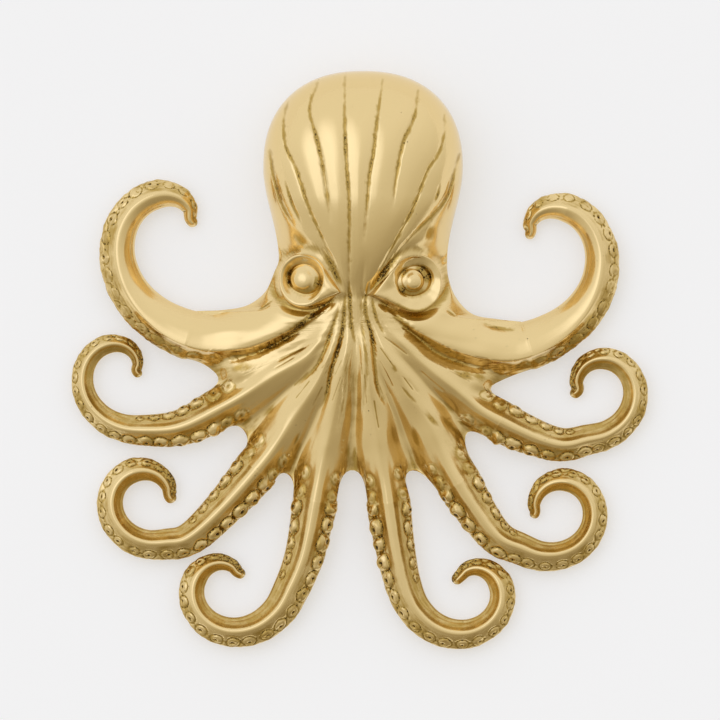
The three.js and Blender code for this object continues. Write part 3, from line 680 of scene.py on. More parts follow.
def brow_shape(x, y):
    """Pinch between the eyes, and the rise of the web below it."""
    pinch = BROW_PINCH * bump(x - MANTLE_X, 9) * bump(y - BROW_Y - 1, 8)
    rise = WEB_RISE * bump(x, 14) * bump(y, 8)
    return rise - pinch


def root_suckers(x, y):
    """The first suckers, where the arms leave the web: height and how dark."""
    chance = np.random.default_rng(3)
    relief, dark = np.zeros((2, *x.shape))
    for arm in ARMS:
        for step in range(2 if arm.flanged else 4):
            for side in (1, -1) if arm.flanged else (1,):
                s = arm.joint - ROOT_SUCKER_START - ROOT_SUCKER_PITCH * step + chance.uniform(-0.5, 0.5)
                origin, along, outer = arm.at(s)
                spot = origin + ROOT_SUCKER_OUT * side * arm.flute_half(s / arm.joint) * outer
                size = chance.uniform(1.4, 1.7) - 0.2 * step
                dx, dy = x - spot[0], y - spot[1]
                close = np.hypot(dx, dy) < 3 * size
                run = (dx[close] * along[0] + dy[close] * along[1]) / (SUCKER_LENGTH * size)
                wide = (dx[close] * outer[0] + dy[close] * outer[1]) / size
                ragged = 1 + 0.25 * grain(flat_points(x[close], y[close]), SUCKER_GRAIN)
                far = np.hypot(run, wide) * ragged
                hole_run, hole_wide = chance.uniform(-0.3, 0.3), chance.uniform(-0.2, 0.2)
                hole = bump(np.hypot(run - hole_run, wide - hole_wide), 0.32)
                edge = bump(far - 1, 0.24)
                strong = mix(1, 0.6, step / 3)
                relief[close] += strong * size * (0.4 * sucker_dome(far) - 0.12 * edge - 0.25 * hole)
                dark[close] = np.maximum(dark[close], strong * np.maximum(hole, 0.7 * edge))
    return relief, dark


def carved_height(x, y):
    grooves, groove_dark = groove_marks(x, y)
    cuts, cut_dark = tool_marks(x, y)
    raised, gaps = root_suckers(x, y)
    raised = raised + hand_finish(x, y) + brow_shape(x, y) - np.maximum(grooves, cuts)
    height, patina_and_shade = eye_marks(x, y, casting_height(x, y) + raised)
    return height, np.maximum.reduce([groove_dark, cut_dark, gaps, patina_and_shade])


# Outline of the body casting, anticlockwise from the top of the mantle

def notch(a, b, left, right, bottom):
    """Line from one arm to the next, straight along each and round at the bottom."""
    back_a, back_b = [-arm.at(arm.joint)[1] for arm in (left, right)]
    depth = bottom - (a + b) / 2
    pull = (depth @ depth) / (depth @ (back_a + back_b) / 2)
    corner_a, corner_b = a + pull * back_a, b + pull * back_b
    shift = bottom - (corner_a + corner_b) / 2
    t = np.linspace(0, 1, 30)[:, None]
    parts = [a[None]]
    for corner, start, end in ((corner_a + shift, a, bottom), (corner_b + shift, bottom, b)):
        first = mix(start, corner, NOTCH_STRAIGHT) if start is a else start
        last = mix(end, corner, NOTCH_STRAIGHT) if end is b else end
        parts.append((1 - t) ** 2 * first + 2 * t * (1 - t) * corner + t**2 * last)
    return spaced(np.vstack([*parts, b[None]]), 20)[1:-1]


def body_outline():
    """Columns: x, y, rim height, tuck under the rim, rounding width, arm cap."""
    def columns(plan, z, tuck, rounding, cap):
        return np.column_stack([plan, *[np.ones(len(plan)) * value for value in (z, tuck, rounding, cap)]])

    def mantle_side(side):
        angle = np.linspace(0, np.pi / 2, 130)
        upper = MANTLE_WIDE_Y + (MANTLE_TOP - MANTLE_WIDE_Y) * np.cos(angle) ** (2 / SQUARENESS)
        y = np.concatenate([upper, np.linspace(MANTLE_WIDE_Y, NECK_Y, 40)[1:]])
        return np.stack([MANTLE_X + side * mantle_half(y), y], axis=1)

    def shoulder(points, side, cap_edge):
        neck = (MANTLE_X + side * NECK_WIDTH / 2, NECK_Y)
        above = NECK_Y + SHOULDER_LEAD
        lead = (MANTLE_X + side * mantle_half(above), above)
        plan = spaced(smooth_line([lead, neck, *points, cap_edge])[SPAN_STEPS:], 44)[1:-1]
        share = np.linspace(0, 1, len(plan))
        return columns(plan, mix(MANTLE_RIM, cap_edge_height, share), mix(MANTLE_TUCK, 0, share),
                       SHOULDER_ROUND * np.sin(np.pi * share) ** 0.5, 0)

    caps = []
    for arm in ARMS:
        cap = arm.section(np.array([arm.joint]), CAP)[0][:-1]
        caps.append(cap if arm.side > 0 else cap[::-1])
    cap_edge_height = caps[0][0][2]
    pieces = [columns(mantle_side(-1), MANTLE_RIM, MANTLE_TUCK, 0, 0)]
    pieces.append(shoulder(LEFT_SHOULDER, -1, caps[0][0][:2]))
    for i, cap in enumerate(caps):
        pieces.append(columns(cap[:, :2], cap[:, 2], 0, 0, 1))
        if i < len(NOTCHES):
            a, b = cap[-1], caps[i + 1][0]
            plan = notch(a[:2], b[:2], ARMS[i], ARMS[i + 1], np.array(NOTCHES[i]))
            t = np.linspace(0, 1, len(plan) + 2)[1:-1]
            end = (2 * t - 1) ** 2
            z = mix(WEB_RIM, mix(a[2], b[2], t), end)
            pieces.append(columns(plan, z, WEB_TUCK * (1 - end), NOTCH_ROUND * (1 - end**2), end**4))
    pieces.append(shoulder(RIGHT_SHOULDER, 1, caps[-1][-1][:2])[::-1])
    pieces.append(columns(mantle_side(1)[::-1][:-1], MANTLE_RIM, MANTLE_TUCK, 0, 0))
    return np.concatenate(pieces)


OUTLINE = body_outline()
FAN_RINGS = 106
WALL_RINGS = 6


def body_rows():
    """Rows of the body skin from the brow out to the rim, and down round it to the underside."""
    plan = OUTLINE[:, :2]
    rim, tuck, rounding, cap = OUTLINE[:, 2:].T
    share = 1 - (1 - np.linspace(0, 1, FAN_RINGS)) ** 1.2
    spots = POLE + share[:, None, None] * (plan - POLE)
    reach = (1 - share)[:, None] * np.linalg.norm(plan - POLE, axis=1)
    height, dark = carved_height(spots[..., 0], spots[..., 1])
    wide = np.maximum(rounding, 1e-6)
    rounded = np.sqrt(1 - (1 - np.minimum(1, reach / wide)) ** 2)
    turn = mix(np.where(rounding > 0.01, rounded, 1), smoothstep(reach, 0, CAP_BLEND), cap)
    z = mix(rim, height, turn)
    z[-1] = rim
    rows = [np.concatenate([spots, z[..., None]], axis=2)]
    inward = to_pole(plan)
    for angle in np.linspace(0, np.pi / 2, WALL_RINGS + 1)[1:]:
        under = plan + inward * (tuck * (1 - np.cos(angle)))[:, None]
        level = mix(rim, BASE, np.sin(angle))
        rows.append(np.concatenate([under, level[:, None]], axis=1)[None])
    rows.append(np.tile([*POLE, BASE], (1, len(plan), 1)))
    dark = np.concatenate([dark, np.zeros((WALL_RINGS + 1, len(plan)))])
    inside = np.where(tuck > WEB_TUCK, smoothstep(reach, 0.6, 2.4), 1)
    return np.concatenate(rows), dark, inside


# Skins

def surface_normals(rows):
    around = np.roll(rows, -1, axis=1) - np.roll(rows, 1, axis=1)
    normal = np.cross(around, np.gradient(rows, axis=0))
    return normal / np.maximum(np.linalg.norm(normal, axis=2), 1e-9)[..., None]


def cavity(rows, normal, reach):
    """How far the neighbours at a number of steps stand above the surface, per millimetre squared."""
    last = len(rows) - 1
    steps = np.arange(len(rows))
    total = np.zeros(rows.shape[:2])
    pairs = [
        (np.roll(rows, reach, axis=1), np.roll(rows, -reach, axis=1)),
        (rows[np.maximum(steps - reach, 0)], rows[np.minimum(steps + reach, last)]),
    ]
    for a, b in pairs:
        sag = (((a + b) / 2 - rows) * normal).sum(axis=2)
        total += sag / np.maximum((((b - a) / 2) ** 2).sum(axis=2), 0.02)
    return total


def brush_lines(rows, x, y):
    """Place on a pattern of fine polishing lines that run out from a point."""
    far, turn = polar(rows[..., 0], rows[..., 1], (x, y))
    return np.stack([50 * np.cos(turn), 50 * np.sin(turn), 0.15 * far], axis=2)


BOX_MARGIN = 1e-5
SKIN_ANGLE = 50
FELT_ANGLE = 40


def new_piece(name):
    piece = bpy.context.object
    piece.name = name
    piece.data.name = name
    return piece


def finish_mesh(angle):
    """Normals outwards, and smooth shading up to an angle."""
    bpy.ops.mesh.normals_make_consistent(inside=False)
    bpy.ops.object.mode_set(mode="OBJECT")
    bpy.ops.object.shade_smooth_by_angle(angle=radians(angle))


def wrapped(grid):
    return np.concatenate([grid, grid[:, :1]], axis=1)


def skin(name, rows, patina_and_shade, lay):
    """Closed skin of a grid wrapped into a tube. The end rows shrink to a spot."""
    count, around = rows.shape[:2]
    bpy.ops.object.select_all(action="DESELECT")
    bpy.ops.mesh.primitive_grid_add(x_subdivisions=around, y_subdivisions=count - 1, size=1)
    piece = new_piece(name)
    low, high = np.array(cad_box)
    points = np.clip(wrapped(rows) * MM, low + BOX_MARGIN, high - BOX_MARGIN)
    piece.data.vertices.foreach_set("co", points.ravel())
    mark = piece.data.attributes.new("patina_and_shade", "FLOAT", "POINT")
    mark.data.foreach_set("value", wrapped(patina_and_shade).ravel())
    lines = piece.data.attributes.new("lay", "FLOAT_VECTOR", "POINT")
    lines.data.foreach_set("vector", wrapped(lay).ravel())
    bpy.ops.object.mode_set(mode="EDIT")
    bpy.ops.mesh.select_all(action="SELECT")
    bpy.ops.mesh.remove_doubles(threshold=1e-7)
    finish_mesh(SKIN_ANGLE)
    return piece


def settle(piece, node, material):
    piece.data.materials.clear()
    piece.data.materials.append(material)
    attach(piece, "root")
    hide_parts(node)
    return piece


# Finishes

def add_nodes(tree):
    def add(kind, **values):
        node = tree.nodes.new(kind)
        for key, value in values.items():
            setattr(node, key, value)
        return node
    return add


def set_in(node, **values):
    for key, value in values.items():
        node.inputs[key.replace("_", " ")].default_value = value
    return node


def join(tree, *ends):
    """Links, each given as a node and its output, and the next node and its input."""
    for source, output, target, entry in ends:
        tree.links.new(source.outputs[output], target.inputs[entry])


def new_material(name):
    material = bpy.data.materials.new(name)
    material.use_nodes = True
    tree = material.node_tree
    return material, tree, add_nodes(tree), tree.nodes["Principled BSDF"]


def cast_brass_group():
    """Colour, roughness and height of polished cast brass with patina left in its hollows, and painted
    shade laid on through the same mask.
    """
    group = bpy.data.node_groups.new("cast_brass_surface", "ShaderNodeTree")
    taken = {"Patina_and_shade": "Float", "Lay": "Vector", "Clean": "Color", "Deep": "Color", "Patina": "Color"}
    given_out = {"Colour": "Color", "Roughness": "Float", "Height": "Float"}
    for way, sockets in (("INPUT", taken), ("OUTPUT", given_out)):
        for name, kind in sockets.items():
            group.interface.new_socket(name=name, in_out=way, socket_type=f"NodeSocket{kind}")
    add = add_nodes(group)
    link = group.links.new
    given = add("NodeGroupInput")
    result = add("NodeGroupOutput")
    place = add("ShaderNodeTexCoord").outputs["Object"]

    def noise_at(scale, detail, roughness=0.55, source=place):
        node = set_in(add("ShaderNodeTexNoise"), Scale=scale, Detail=detail, Roughness=roughness)
        link(source, node.inputs["Vector"])
        return node.outputs["Fac"]

    def calc(operation, a, b):
        node = add("ShaderNodeMath", operation=operation)
        for socket, value in zip(node.inputs, (a, b)):
            if isinstance(value, (int, float)):
                socket.default_value = value
            else:
                link(value, socket)
        return node.outputs[0]

    def sway(value, strength):
        return calc("MULTIPLY", calc("SUBTRACT", value, 0.5), strength)

    def ramp(value, low, high, to_low=0.0, to_high=1.0):
        node = add("ShaderNodeMapRange", interpolation_type="SMOOTHSTEP")
        set_in(node, From_Min=low, From_Max=high, To_Min=to_low, To_Max=to_high)
        link(value, node.inputs["Value"])
        return node.outputs["Result"]

    def colour_mix(factor, a, b):
        node = add("ShaderNodeMix", data_type="RGBA")
        link(factor, node.inputs["Factor"])
        link(a, node.inputs["A"])
        link(b, node.inputs["B"])
        return node.outputs["Result"]

    speckle = noise_at(2200, 4, 0.65)
    mottle = noise_at(170, 3)
    blotch = noise_at(420, 4, 0.6)
    brushed = noise_at(1, 4, 0.6, given.outputs["Lay"])
    patina_and_shade = given.outputs["Patina_and_shade"]
    worn = calc("ADD", sway(blotch, 0.4), sway(brushed, 0.45))
    # Deep brass over patina, tarnish and painted shade alike
    deep = ramp(calc("ADD", patina_and_shade, worn), 0.14, 0.52)
    dark = ramp(calc("ADD", patina_and_shade, sway(speckle, 2.0)), 0.62, 0.98)
    pits = set_in(add("ShaderNodeTexVoronoi"), Scale=650.0)
    link(place, pits.inputs["Vector"])
    specks = ramp(pits.outputs["Distance"], 0.16, 0.06)
    scattered = calc("MULTIPLY", specks, ramp(noise_at(120, 2), 0.6, 0.72))
    # Patina colour where the mask runs darkest: stains, and painted shade where the shaded flanks and
    # under-eye tones reach it
    stained = calc("MAXIMUM", dark, calc("MULTIPLY", scattered, 0.8))
    colour = colour_mix(deep, given.outputs["Clean"], given.outputs["Deep"])
    link(colour_mix(stained, colour, given.outputs["Patina"]), result.inputs["Colour"])
    polish = calc("ADD", ramp(mottle, 0.3, 0.7, 0.11, 0.17), ramp(brushed, 0.4, 0.75, 0.0, 0.07))
    link(calc("ADD", polish, calc("MULTIPLY", stained, 0.3)), result.inputs["Roughness"])
    rough = calc("ADD", calc("MULTIPLY", noise_at(420, 3), 0.35), calc("MULTIPLY", brushed, 0.12))
    link(calc("SUBTRACT", rough, calc("MULTIPLY", stained, 0.6)), result.inputs["Height"])
    return group


CLEAN_BRASS = (0.86, 0.655, 0.318, 1)
# Deep brass shows tarnish, and painted shade on the flanks, in the curls and under the eyes
DEEP_BRASS = (0.52, 0.345, 0.09, 1)
PATINA = (0.07, 0.04, 0.013, 1)
FELT_SHADE = (0.008, 0.028, 0.016, 1)
FELT_LIGHT = (0.03, 0.085, 0.05, 1)


def brass_finish():
    material, tree, add, shader = new_material("polished_cast_brass")
    set_in(shader, Metallic=1.0)
    surface = add("ShaderNodeGroup", node_tree=cast_brass_group())
    set_in(surface, Clean=CLEAN_BRASS, Deep=DEEP_BRASS, Patina=PATINA)
    mark = add("ShaderNodeAttribute", attribute_name="patina_and_shade")
    lay = add("ShaderNodeAttribute", attribute_name="lay")
    relief = set_in(add("ShaderNodeBump"), Strength=0.12, Distance=0.0004)
    join(tree, (mark, "Fac", surface, "Patina_and_shade"), (lay, "Vector", surface, "Lay"),
         (surface, "Colour", shader, "Base Color"), (surface, "Roughness", shader, "Roughness"),
         (surface, "Height", relief, "Height"), (relief, "Normal", shader, "Normal"))
    return material


def felt_finish():
    material, tree, add, shader = new_material("green_felt")
    set_in(shader, Roughness=0.95, Sheen_Weight=0.5, Sheen_Roughness=0.5)
    place = add("ShaderNodeTexCoord")
    fibres = set_in(add("ShaderNodeTexNoise"), Scale=2600.0, Detail=5.0, Roughness=0.7)
    shade = set_in(add("ShaderNodeMix", data_type="RGBA"), A=FELT_SHADE, B=FELT_LIGHT)
    relief = set_in(add("ShaderNodeBump"), Strength=0.6, Distance=0.0003)
    join(tree, (place, "Object", fibres, "Vector"), (fibres, "Fac", shade, "Factor"),
         (shade, "Result", shader, "Base Color"), (fibres, "Fac", relief, "Height"),
         (relief, "Normal", shader, "Normal"))
    return material


# Pieces

ROW_SPACING = 0.26
# Pairs of values for suckers: standing up near the body, then pressed flat along the curl
SUCKER_FLATTENS = (0.12, 0.4)
SUCKER_SIZE = (1.3, 1.05)
SUCKER_RISE = (0.5, 0.2)
SUCKER_EDGE = (0.24, 0.17)
SUCKER_EDGE_DARK = (0.6, 0.8)
SUCKER_HOLE = (0.34, 0.28)
SUCKER_HOLE_DARK = 1.2
SUCKER_RAGGED = 0.16


def sucker_relief(arm, s, rows):
    """Uneven suckers on the arm: height along the surface, how dark and how polished each spot is."""
    chance = np.random.default_rng(40 + ARMS.index(arm))
    relief, dark, polished = np.zeros((3, *rows.shape[:2]))
    for place, side, radius in arm.suckers():
        flat = float(smoothstep(arm.past(place), *SUCKER_FLATTENS)) if arm.flanged else 1.0
        size = radius * chance.uniform(0.88, 1.08) * mix(*SUCKER_SIZE, flat)
        row = int(np.argmin(np.abs(s - place - chance.uniform(-0.2, 0.2) * radius)))
        outwards = round(3 * (1 - flat))
        column = OUTER_SEAT_COLUMN + outwards if side > 0 else INNER_SEAT_COLUMN - outwards
        _, along, outer = arm.at(s[row])
        span = int(2 * radius / ROW_SPACING) + 1
        near = slice(max(0, row - span), row + span + 1)
        offset = rows[near] - rows[row, column]
        run = offset[..., :2] @ along
        wide = np.sqrt(np.maximum((offset**2).sum(axis=2) - run**2, 0))
        wide = wide * np.sign(offset[..., :2] @ outer) * side / size
        run = run / (SUCKER_LENGTH * size)
        far = np.hypot(run, wide) * (1 + SUCKER_RAGGED * grain(rows[near], SUCKER_GRAIN))
        pit = np.hypot(run - chance.uniform(-0.3, 0.3), wide - chance.uniform(0.1, 0.45))
        rise = mix(*SUCKER_RISE, flat) * chance.uniform(0.7, 1.2)
        edge = bump(far - 1, mix(*SUCKER_EDGE, flat)) * chance.uniform(0.45, 1)
        hole = bump(pit, mix(*SUCKER_HOLE, flat))
        if not arm.flanged:
            edge = edge * np.abs(run) * chance.uniform(0.2, 1)
            hole = hole * chance.choice([0, 0, 1])
        relief[near] += size * (rise * sucker_dome(far) - 0.15 * edge - 0.35 * hole)
        shade = np.maximum(SUCKER_HOLE_DARK * hole, mix(*SUCKER_EDGE_DARK, flat) * edge)
        dark[near] = np.maximum(dark[near], shade)
        polished[near] = np.maximum(polished[near], (1 - flat) * np.sqrt(np.clip(1 - far**2, 0, 1)))
    return relief, dark, polished


# Edges of the rough flange, in columns from the seats of the suckers
FLANGE_INSIDE = (-12, -3)
FLANGE_OUTSIDE = (14, 18)
# Tones of the arms' flanks and coves in the curls and towards the tips: tarnish and painted shade
CURLED_TONE_FROM = (0.1, 0.4)
CURLED_OUTER_TONE = 0.3
CURLED_INNER_TONE = 0.42
TIP_TONE = 0.4
UPPER_INNER_TONE = 0.12


def build_arm(arm, brass):
    body = np.arange(arm.joint - SEAT_IN_BODY, arm.length - arm.half[2], ROW_SPACING)
    end = arm.length - arm.half[2] * (1 - np.sin(np.linspace(0, np.pi / 2, 10)))
    s = np.concatenate([body, end])
    rows = arm.section(s, SECTION)
    sunk = np.maximum(0, arm.joint - s)[:, None]
    middle = rows.mean(axis=1, keepdims=True)
    rows = middle + (rows - middle) * (1 - 0.05 * sunk[..., None])
    normal = surface_normals(rows)
    normal *= np.sign(normal[len(s) // 2, CREST_COLUMN, 2])
    relief, dark, polished = sucker_relief(arm, s, rows)
    columns = np.arange(rows.shape[1])
    beyond = columns - OUTER_SEAT_COLUMN
    flange = smoothstep(beyond, *FLANGE_INSIDE) * (1 - smoothstep(beyond, *FLANGE_OUTSIDE))
    uneven = grain(rows, 1.6) + 0.6 * grain(rows, 0.8)
    broad = grain(rows, 4.5)
    relief += (0.14 if arm.flanged else 0.2) * flange * uneven + (0.04 + 0.1 * flange) * broad
    fade = 1 - smoothstep(s, arm.length - BARE_TIP, arm.length)
    fade = fade * smoothstep(s, arm.joint - 0.2, arm.joint + 1.5)
    rows = rows + normal * (relief * fade[:, None])[..., None]
    rows[..., 2] = np.maximum(rows[..., 2], BASE)
    # Tarnish and painted shade on the flanks, coves and towards the tips
    past = arm.past(s)[:, None]
    curled = smoothstep(past, *CURLED_TONE_FROM)
    outwards = smoothstep(columns, CREST_COLUMN + 4, CREST_COLUMN + 12) * (beyond < FLANGE_OUTSIDE[1])
    inwards = smoothstep(-columns, -CREST_COLUMN + 4, -CREST_COLUMN + 10) * (columns > 2)
    outer_tone = mix(OUTER_TONE, CURLED_OUTER_TONE, curled)
    outer_tone = outer_tone + TIP_TONE * smoothstep(past, 0.8, 0.95) * arm.flanged
    inner_tone = mix(INNER_TONE, CURLED_INNER_TONE, curled) if arm.flanged else UPPER_INNER_TONE * curled
    tarnish_and_shade = outwards * (outer_tone + 0.2 * broad) + inwards * inner_tone
    patina_and_shade = np.maximum(0.9 * dark * fade[:, None], 0.8 * smoothstep(cavity(rows, normal, 2), 0.08, 0.6))
    patina_and_shade = np.maximum(patina_and_shade, tarnish_and_shade * (1 - 0.3 * polished))
    start, tip = [np.tile(row.mean(axis=0), (1, len(row), 1)) for row in (rows[0], rows[-1])]
    tube = np.concatenate([start, rows, tip])
    patina_and_shade = np.pad(patina_and_shade, ((1, 1), (0, 0)))
    along = np.pad(s, 1, mode="edge")[:, None] * np.ones(rows.shape[1])
    across = np.pad(arm.half_at(s), 1, mode="edge")[:, None] * np.linspace(-1.3, 1.3, rows.shape[1])
    lay = np.stack([0.12 * along, 2.2 * across, np.full_like(along, 9 * ARMS.index(arm))], axis=2)
    piece = skin(f"{arm.name}_arm_casting", tube, patina_and_shade, lay)
    return settle(piece, f"{arm.name}_arm", brass)


# Sections of the eyelids: radius, share of the reach to the corner, height, how hollow, droop
ROUND_LID = [
    (4.1, 0, -2.4, 0.5, 0), (4.15, 0, -0.75, 0.45, 0), (4.5, 0, -0.4, 0.3, 0.1), (5, 0, 0.1, 0.15, 0.3),
    (5.5, 0, 0.7, 0.05, 0.5), (5.9, 0.05, 1.05, 0, 0.7), (6.25, 0.3, 1, 0, 0.85),
    (6.65, 0.7, 0.35, 0.1, 0.9), (7.1, 1, -1.6, 0.5, 1.1), (7.8, 1, -5.6, 0.55, 1.3),
]
FLAT_LID = [
    (4.2, 0, -2.4, 0.6, 0), (4.25, 0, -0.6, 0.5, 0), (4.6, 0, -0.2, 0.3, 0.1), (5.1, 0.1, 0.2, 0.1, 0.3),
    (5.7, 0.25, 0.6, 0, 0.6), (6.4, 0.65, 1.05, 0, 1), (6.8, 0.9, 1.15, 0, 1.2), (7.05, 1, 0.6, 0.1, 1.3),
    (7.3, 1, -1.6, 0.5, 1.4), (7.9, 1, -5.6, 0.6, 1.4),
]
LID_UNEVEN = 0.18
LID_UNEVEN_PITCH = 2.2
LID_UNDER_TONE = 0.55
LID_STAIN = 0.85


def build_lid(eye):
    around = np.linspace(0, 2 * np.pi, 100, endpoint=False)
    section = ROUND_LID if eye.x < 0 else FLAT_LID
    weights = spline_weights(len(section), [4] * (len(section) - 1), underside=3)
    radius, share, height, patina_and_shade, droop = (weights @ np.array(section)).T
    turn = (eye.turn + around)[:, None]
    reach = eye.lid_radius(turn, radius, share) + droop * np.maximum(0, -np.sin(turn)) ** 1.5
    reach = reach + EYE_STRETCH * smoothstep(-radius, -5.6, -4.2) * np.cos(2 * (turn - eye.turn))
    level = height + eye.ridge * bump(turned_from(turn, eye.ridge_turn), 0.7) * bump(radius - 6.6, 0.9)
    rows = np.stack([reach * np.cos(turn), reach * np.sin(turn), level], axis=2)
    rows[..., 2] += LID_UNEVEN * grain(rows + 20, LID_UNEVEN_PITCH)
    # Painted shade on the lower outer slope of the lid
    under = smoothstep(radius, 6.1, 6.9) * np.maximum(0, -np.sin(turn))
    patina_and_shade = np.maximum(patina_and_shade, LID_UNDER_TONE * under)
    inner = smoothstep(-radius, -5.2, -4.2)
    patina_and_shade = np.maximum(patina_and_shade, LID_STAIN * inner * eye.stained(turn, 0.45))
    rows = eye.place(np.concatenate([rows, rows[:1]]))
    patina_and_shade = np.concatenate([patina_and_shade, patina_and_shade[:1]])
    return skin("eyelid", rows, patina_and_shade, brush_lines(rows, eye.x, eye.y))


SAG_STEP = 1.3
SAG_TONE = 0.8
WEB_SAG_TONE = 0.22
WALL_TONE = 0.8


def build_body(brass):
    rows, dark, inside = body_rows()
    x, y = rows[:FAN_RINGS, :, 0], rows[:FAN_RINGS, :, 1]
    steps = np.array([(1, 0), (-1, 0), (0, 1), (0, -1)]) * SAG_STEP
    around = np.mean([carved_height(x + dx, y + dy)[0] for dx, dy in steps], axis=0)
    sag = np.zeros_like(dark)
    sag[:FAN_RINGS] = inside * (around - carved_height(x, y)[0])
    web = smoothstep(-rows[..., 1], -14, -8)
    patina_and_shade = np.maximum(0.9 * dark, mix(SAG_TONE, WEB_SAG_TONE, web) * smoothstep(sag, 0.08, 0.7))
    # Tarnish and painted shade on the flanks of the flutes, carried down the wall under the rim
    tone = flank_tone(x, y) * (1 + 0.4 * grain(rows[:FAN_RINGS], 4.5))
    patina_and_shade[:FAN_RINGS] = np.maximum(patina_and_shade[:FAN_RINGS], tone)
    patina_and_shade[FAN_RINGS:] = np.maximum(patina_and_shade[FAN_RINGS:], WALL_TONE * tone[-1])
    piece = skin("body_casting_skin", rows, patina_and_shade, brush_lines(rows, *POLE))
    lids = [build_lid(eye) for eye in EYES]
    bpy.ops.object.select_all(action="DESELECT")
    for lid in lids:
        lid.select_set(True)
    piece.select_set(True)
    bpy.context.view_layer.objects.active = piece
    bpy.ops.object.join()
    return settle(piece, "body_casting", brass)


# Profile of an eyeball: the boss is given as shares of its radius
EYE_DISC = [(0, 0), (EYE_RADIUS, 0), (EYE_RADIUS, 1.6), (EYE_RADIUS - 0.3, 1.9)]
EYE_BOSS = [(1.2, 2.3), (1.04, 2.6), (0.86, 2.9), (0.72, 3.25), (0.58, 3.6), (0.32, 3.93), (0, 4.05)]
EYE_EGG = 0.16
BOSS_FOOT = 2.4
BOSS_RISE = 1.65
BOSS_DROOP = 0.5
RING_TONE = 0.16
RING_SPECKS = 0.62
LOWER_TONE = 0.46


def build_eyeball(eye, brass):
    profile = np.array(EYE_DISC + [(share * eye.boss, z) for share, z in EYE_BOSS])
    fine = spline_weights(len(profile), [4, 4, 5, 5, 5, 5, 5, 6, 6, 6]) @ profile
    turn = np.linspace(0, 2 * np.pi, 64, endpoint=False)
    radius = np.maximum(fine[:, :1], 0)
    level = np.tile(np.maximum(fine[:, 1:], 0) + 0.3 - SOCKET_DEPTH, (1, len(turn)))
    raised = np.maximum(0, fine[:, 1:] - BOSS_FOOT) / BOSS_RISE
    egg = 1 + EYE_EGG * np.maximum(0, np.cos(turn - eye.turn - np.pi)) * smoothstep(raised, 0, 0.3)
    x = egg * radius * np.cos(turn) + eye.boss_shift * smoothstep(-radius, -EYE_RADIUS + 0.3, -eye.boss)
    y = egg * radius * np.sin(turn) - BOSS_DROOP * raised
    rows = eye.place(np.stack([x, y, level], axis=2))
    ring = smoothstep(fine[:, :1], 0.85 * eye.boss, 1.05 * eye.boss)
    specks = eye.stained(turn, 0.4)
    # Painted shade on the lower side of the boss
    lower = smoothstep(-np.sin(turn), 0.1, 0.9) * smoothstep(fine[:, :1], 0.5 * eye.boss, 0.85 * eye.boss)
    patina_and_shade = np.maximum(ring * (RING_TONE + RING_SPECKS * specks), LOWER_TONE * lower)
    piece = skin(f"{eye.name}_casting", rows, patina_and_shade, brush_lines(rows, eye.x, eye.y))
    return settle(piece, eye.name, brass)


def build_felt(name, node, outline, felt):
    bpy.ops.object.select_all(action="DESELECT")
    bpy.ops.mesh.primitive_circle_add(vertices=len(outline), radius=0.01, fill_type="NGON")
    piece = new_piece(name)
    piece.data.vertices.foreach_set("co", (flat_points(*outline.T) * MM).ravel())
    bpy.ops.object.mode_set(mode="EDIT")
    bpy.ops.mesh.select_all(action="SELECT")
    bpy.ops.mesh.extrude_region_move(TRANSFORM_OT_translate={"value": (0, 0, FELT_THICK * MM)})
    bpy.ops.mesh.select_all(action="SELECT")
    finish_mesh(FELT_ANGLE)
    return settle(piece, node, felt)


FELT_MARGIN = 6
FELT_DOT_PLACE = 0.35
FELT_DOT_SHARE = 0.72


def build_felts(felt):
    plan = OUTLINE[::3, :2]
    build_felt("body_felt_pad", "body_felt", plan + FELT_MARGIN * to_pole(plan), felt)
    turn = np.linspace(0, 2 * np.pi, 40, endpoint=False)
    for arm in ARMS:
        s = np.array([arm.joint + FELT_DOT_PLACE * arm.free])
        radius = FELT_DOT_SHARE * arm.half_at(s)[0]
        circle = arm.at(s)[0][0] + radius * np.stack([np.cos(turn), np.sin(turn)], axis=1)
        build_felt(f"{arm.name}_felt_dot", f"{arm.name}_felt", circle, felt)


# Table, light and camera

FRAME_WIDTH = 0.190
SENSOR_WIDTH = 36
CAMERA_HEIGHT = 2.0
TABLE_COLOUR = (0.6, 0.6, 0.612, 1)
TABLE_LIFT = 0.418
WINDOW_SIDE = (-0.45, 0.27, 0.851)
WINDOW_LIGHT = (0.36, 0.4, 0.55, 1)
WINDOW_EDGE = (0.84, 0.99)
SHADE_SIDE = (0.26, -0.966, 0)
ROOM_LIGHT = (0.9, 0.91, 0.935, 1)
ROOM_SHADE = (0.54, 0.5, 0.39, 1)
LOW_SHADE = (0.36, 0.318, 0.228, 1)
SHADE_EDGE = (-0.75, 1.05)
LOW_SHADE_EDGE = (0.45, 1.05)


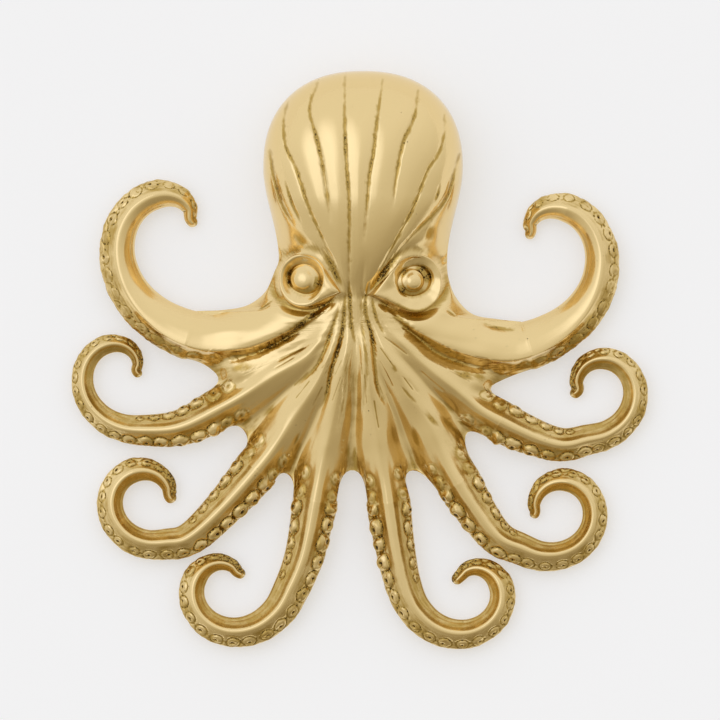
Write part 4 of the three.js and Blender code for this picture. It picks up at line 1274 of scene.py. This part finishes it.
def build_table():
    bpy.ops.object.select_all(action="DESELECT")
    bpy.ops.mesh.primitive_plane_add(size=6)
    table = bpy.context.object
    table.name = "table"
    material, tree, add, shader = new_material("pale_table")
    set_in(shader, Base_Color=TABLE_COLOUR, Roughness=0.9, Specular_IOR_Level=0.0)
    set_in(shader, Emission_Color=(1, 1, 1, 1))
    path = add("ShaderNodeLightPath")
    seen = add("ShaderNodeMath", operation="MAXIMUM")
    through = add("ShaderNodeMath", operation="MAXIMUM")
    lift = add("ShaderNodeMath", operation="MULTIPLY")
    lift.inputs[1].default_value = TABLE_LIFT
    join(tree, (path, "Is Camera Ray", seen, 0), (path, "Is Glossy Ray", seen, 1), (seen, 0, through, 0),
         (path, "Is Transmission Ray", through, 1), (through, 0, lift, 0),
         (lift, 0, shader, "Emission Strength"))
    table.data.materials.append(material)
    table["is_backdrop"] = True


def build_light():
    world = bpy.data.worlds.new("soft_studio")
    bpy.context.scene.world = world
    world.use_nodes = True
    tree = world.node_tree
    add = add_nodes(tree)
    background = tree.nodes["Background"]
    place = add("ShaderNodeTexCoord")

    def towards(direction, low, high):
        lean = add("ShaderNodeVectorMath", operation="DOT_PRODUCT")
        lean.inputs[1].default_value = direction
        share = add("ShaderNodeMapRange", interpolation_type="SMOOTHSTEP")
        set_in(share, From_Min=low, From_Max=high)
        join(tree, (place, "Generated", lean, 0), (lean, "Value", share, "Value"))
        return share

    room = set_in(add("ShaderNodeMix", data_type="RGBA"), A=ROOM_LIGHT, B=ROOM_SHADE)
    low = set_in(add("ShaderNodeMix", data_type="RGBA"), B=LOW_SHADE)
    glow = set_in(add("ShaderNodeMix", data_type="RGBA", blend_type="ADD"), B=WINDOW_LIGHT)
    join(tree, (towards(SHADE_SIDE, *SHADE_EDGE), "Result", room, "Factor"),
         (towards(SHADE_SIDE, *LOW_SHADE_EDGE), "Result", low, "Factor"),
         (towards(WINDOW_SIDE, *WINDOW_EDGE), "Result", glow, "Factor"),
         (room, "Result", low, "A"), (low, "Result", glow, "A"), (glow, "Result", background, "Color"))


def build_camera():
    lens = bpy.data.cameras.new("camera")
    lens.sensor_width = SENSOR_WIDTH
    lens.lens = SENSOR_WIDTH * CAMERA_HEIGHT / FRAME_WIDTH
    camera = bpy.data.objects.new("camera", lens)
    camera.location = (0, 0, CAMERA_HEIGHT)
    bpy.context.scene.collection.objects.link(camera)
    bpy.context.scene.camera = camera


brass = brass_finish()
felt = felt_finish()
build_body(brass)
for arm in ARMS:
    build_arm(arm, brass)
for eye in EYES:
    build_eyeball(eye, brass)
build_felts(felt)
build_table()
build_light()
build_camera()
bpy.context.scene.view_settings.view_transform = "Standard"

sizes = {"cad": cad_box, "visual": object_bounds()}
{key: [list(corner) for corner in box] for key, box in sizes.items()}
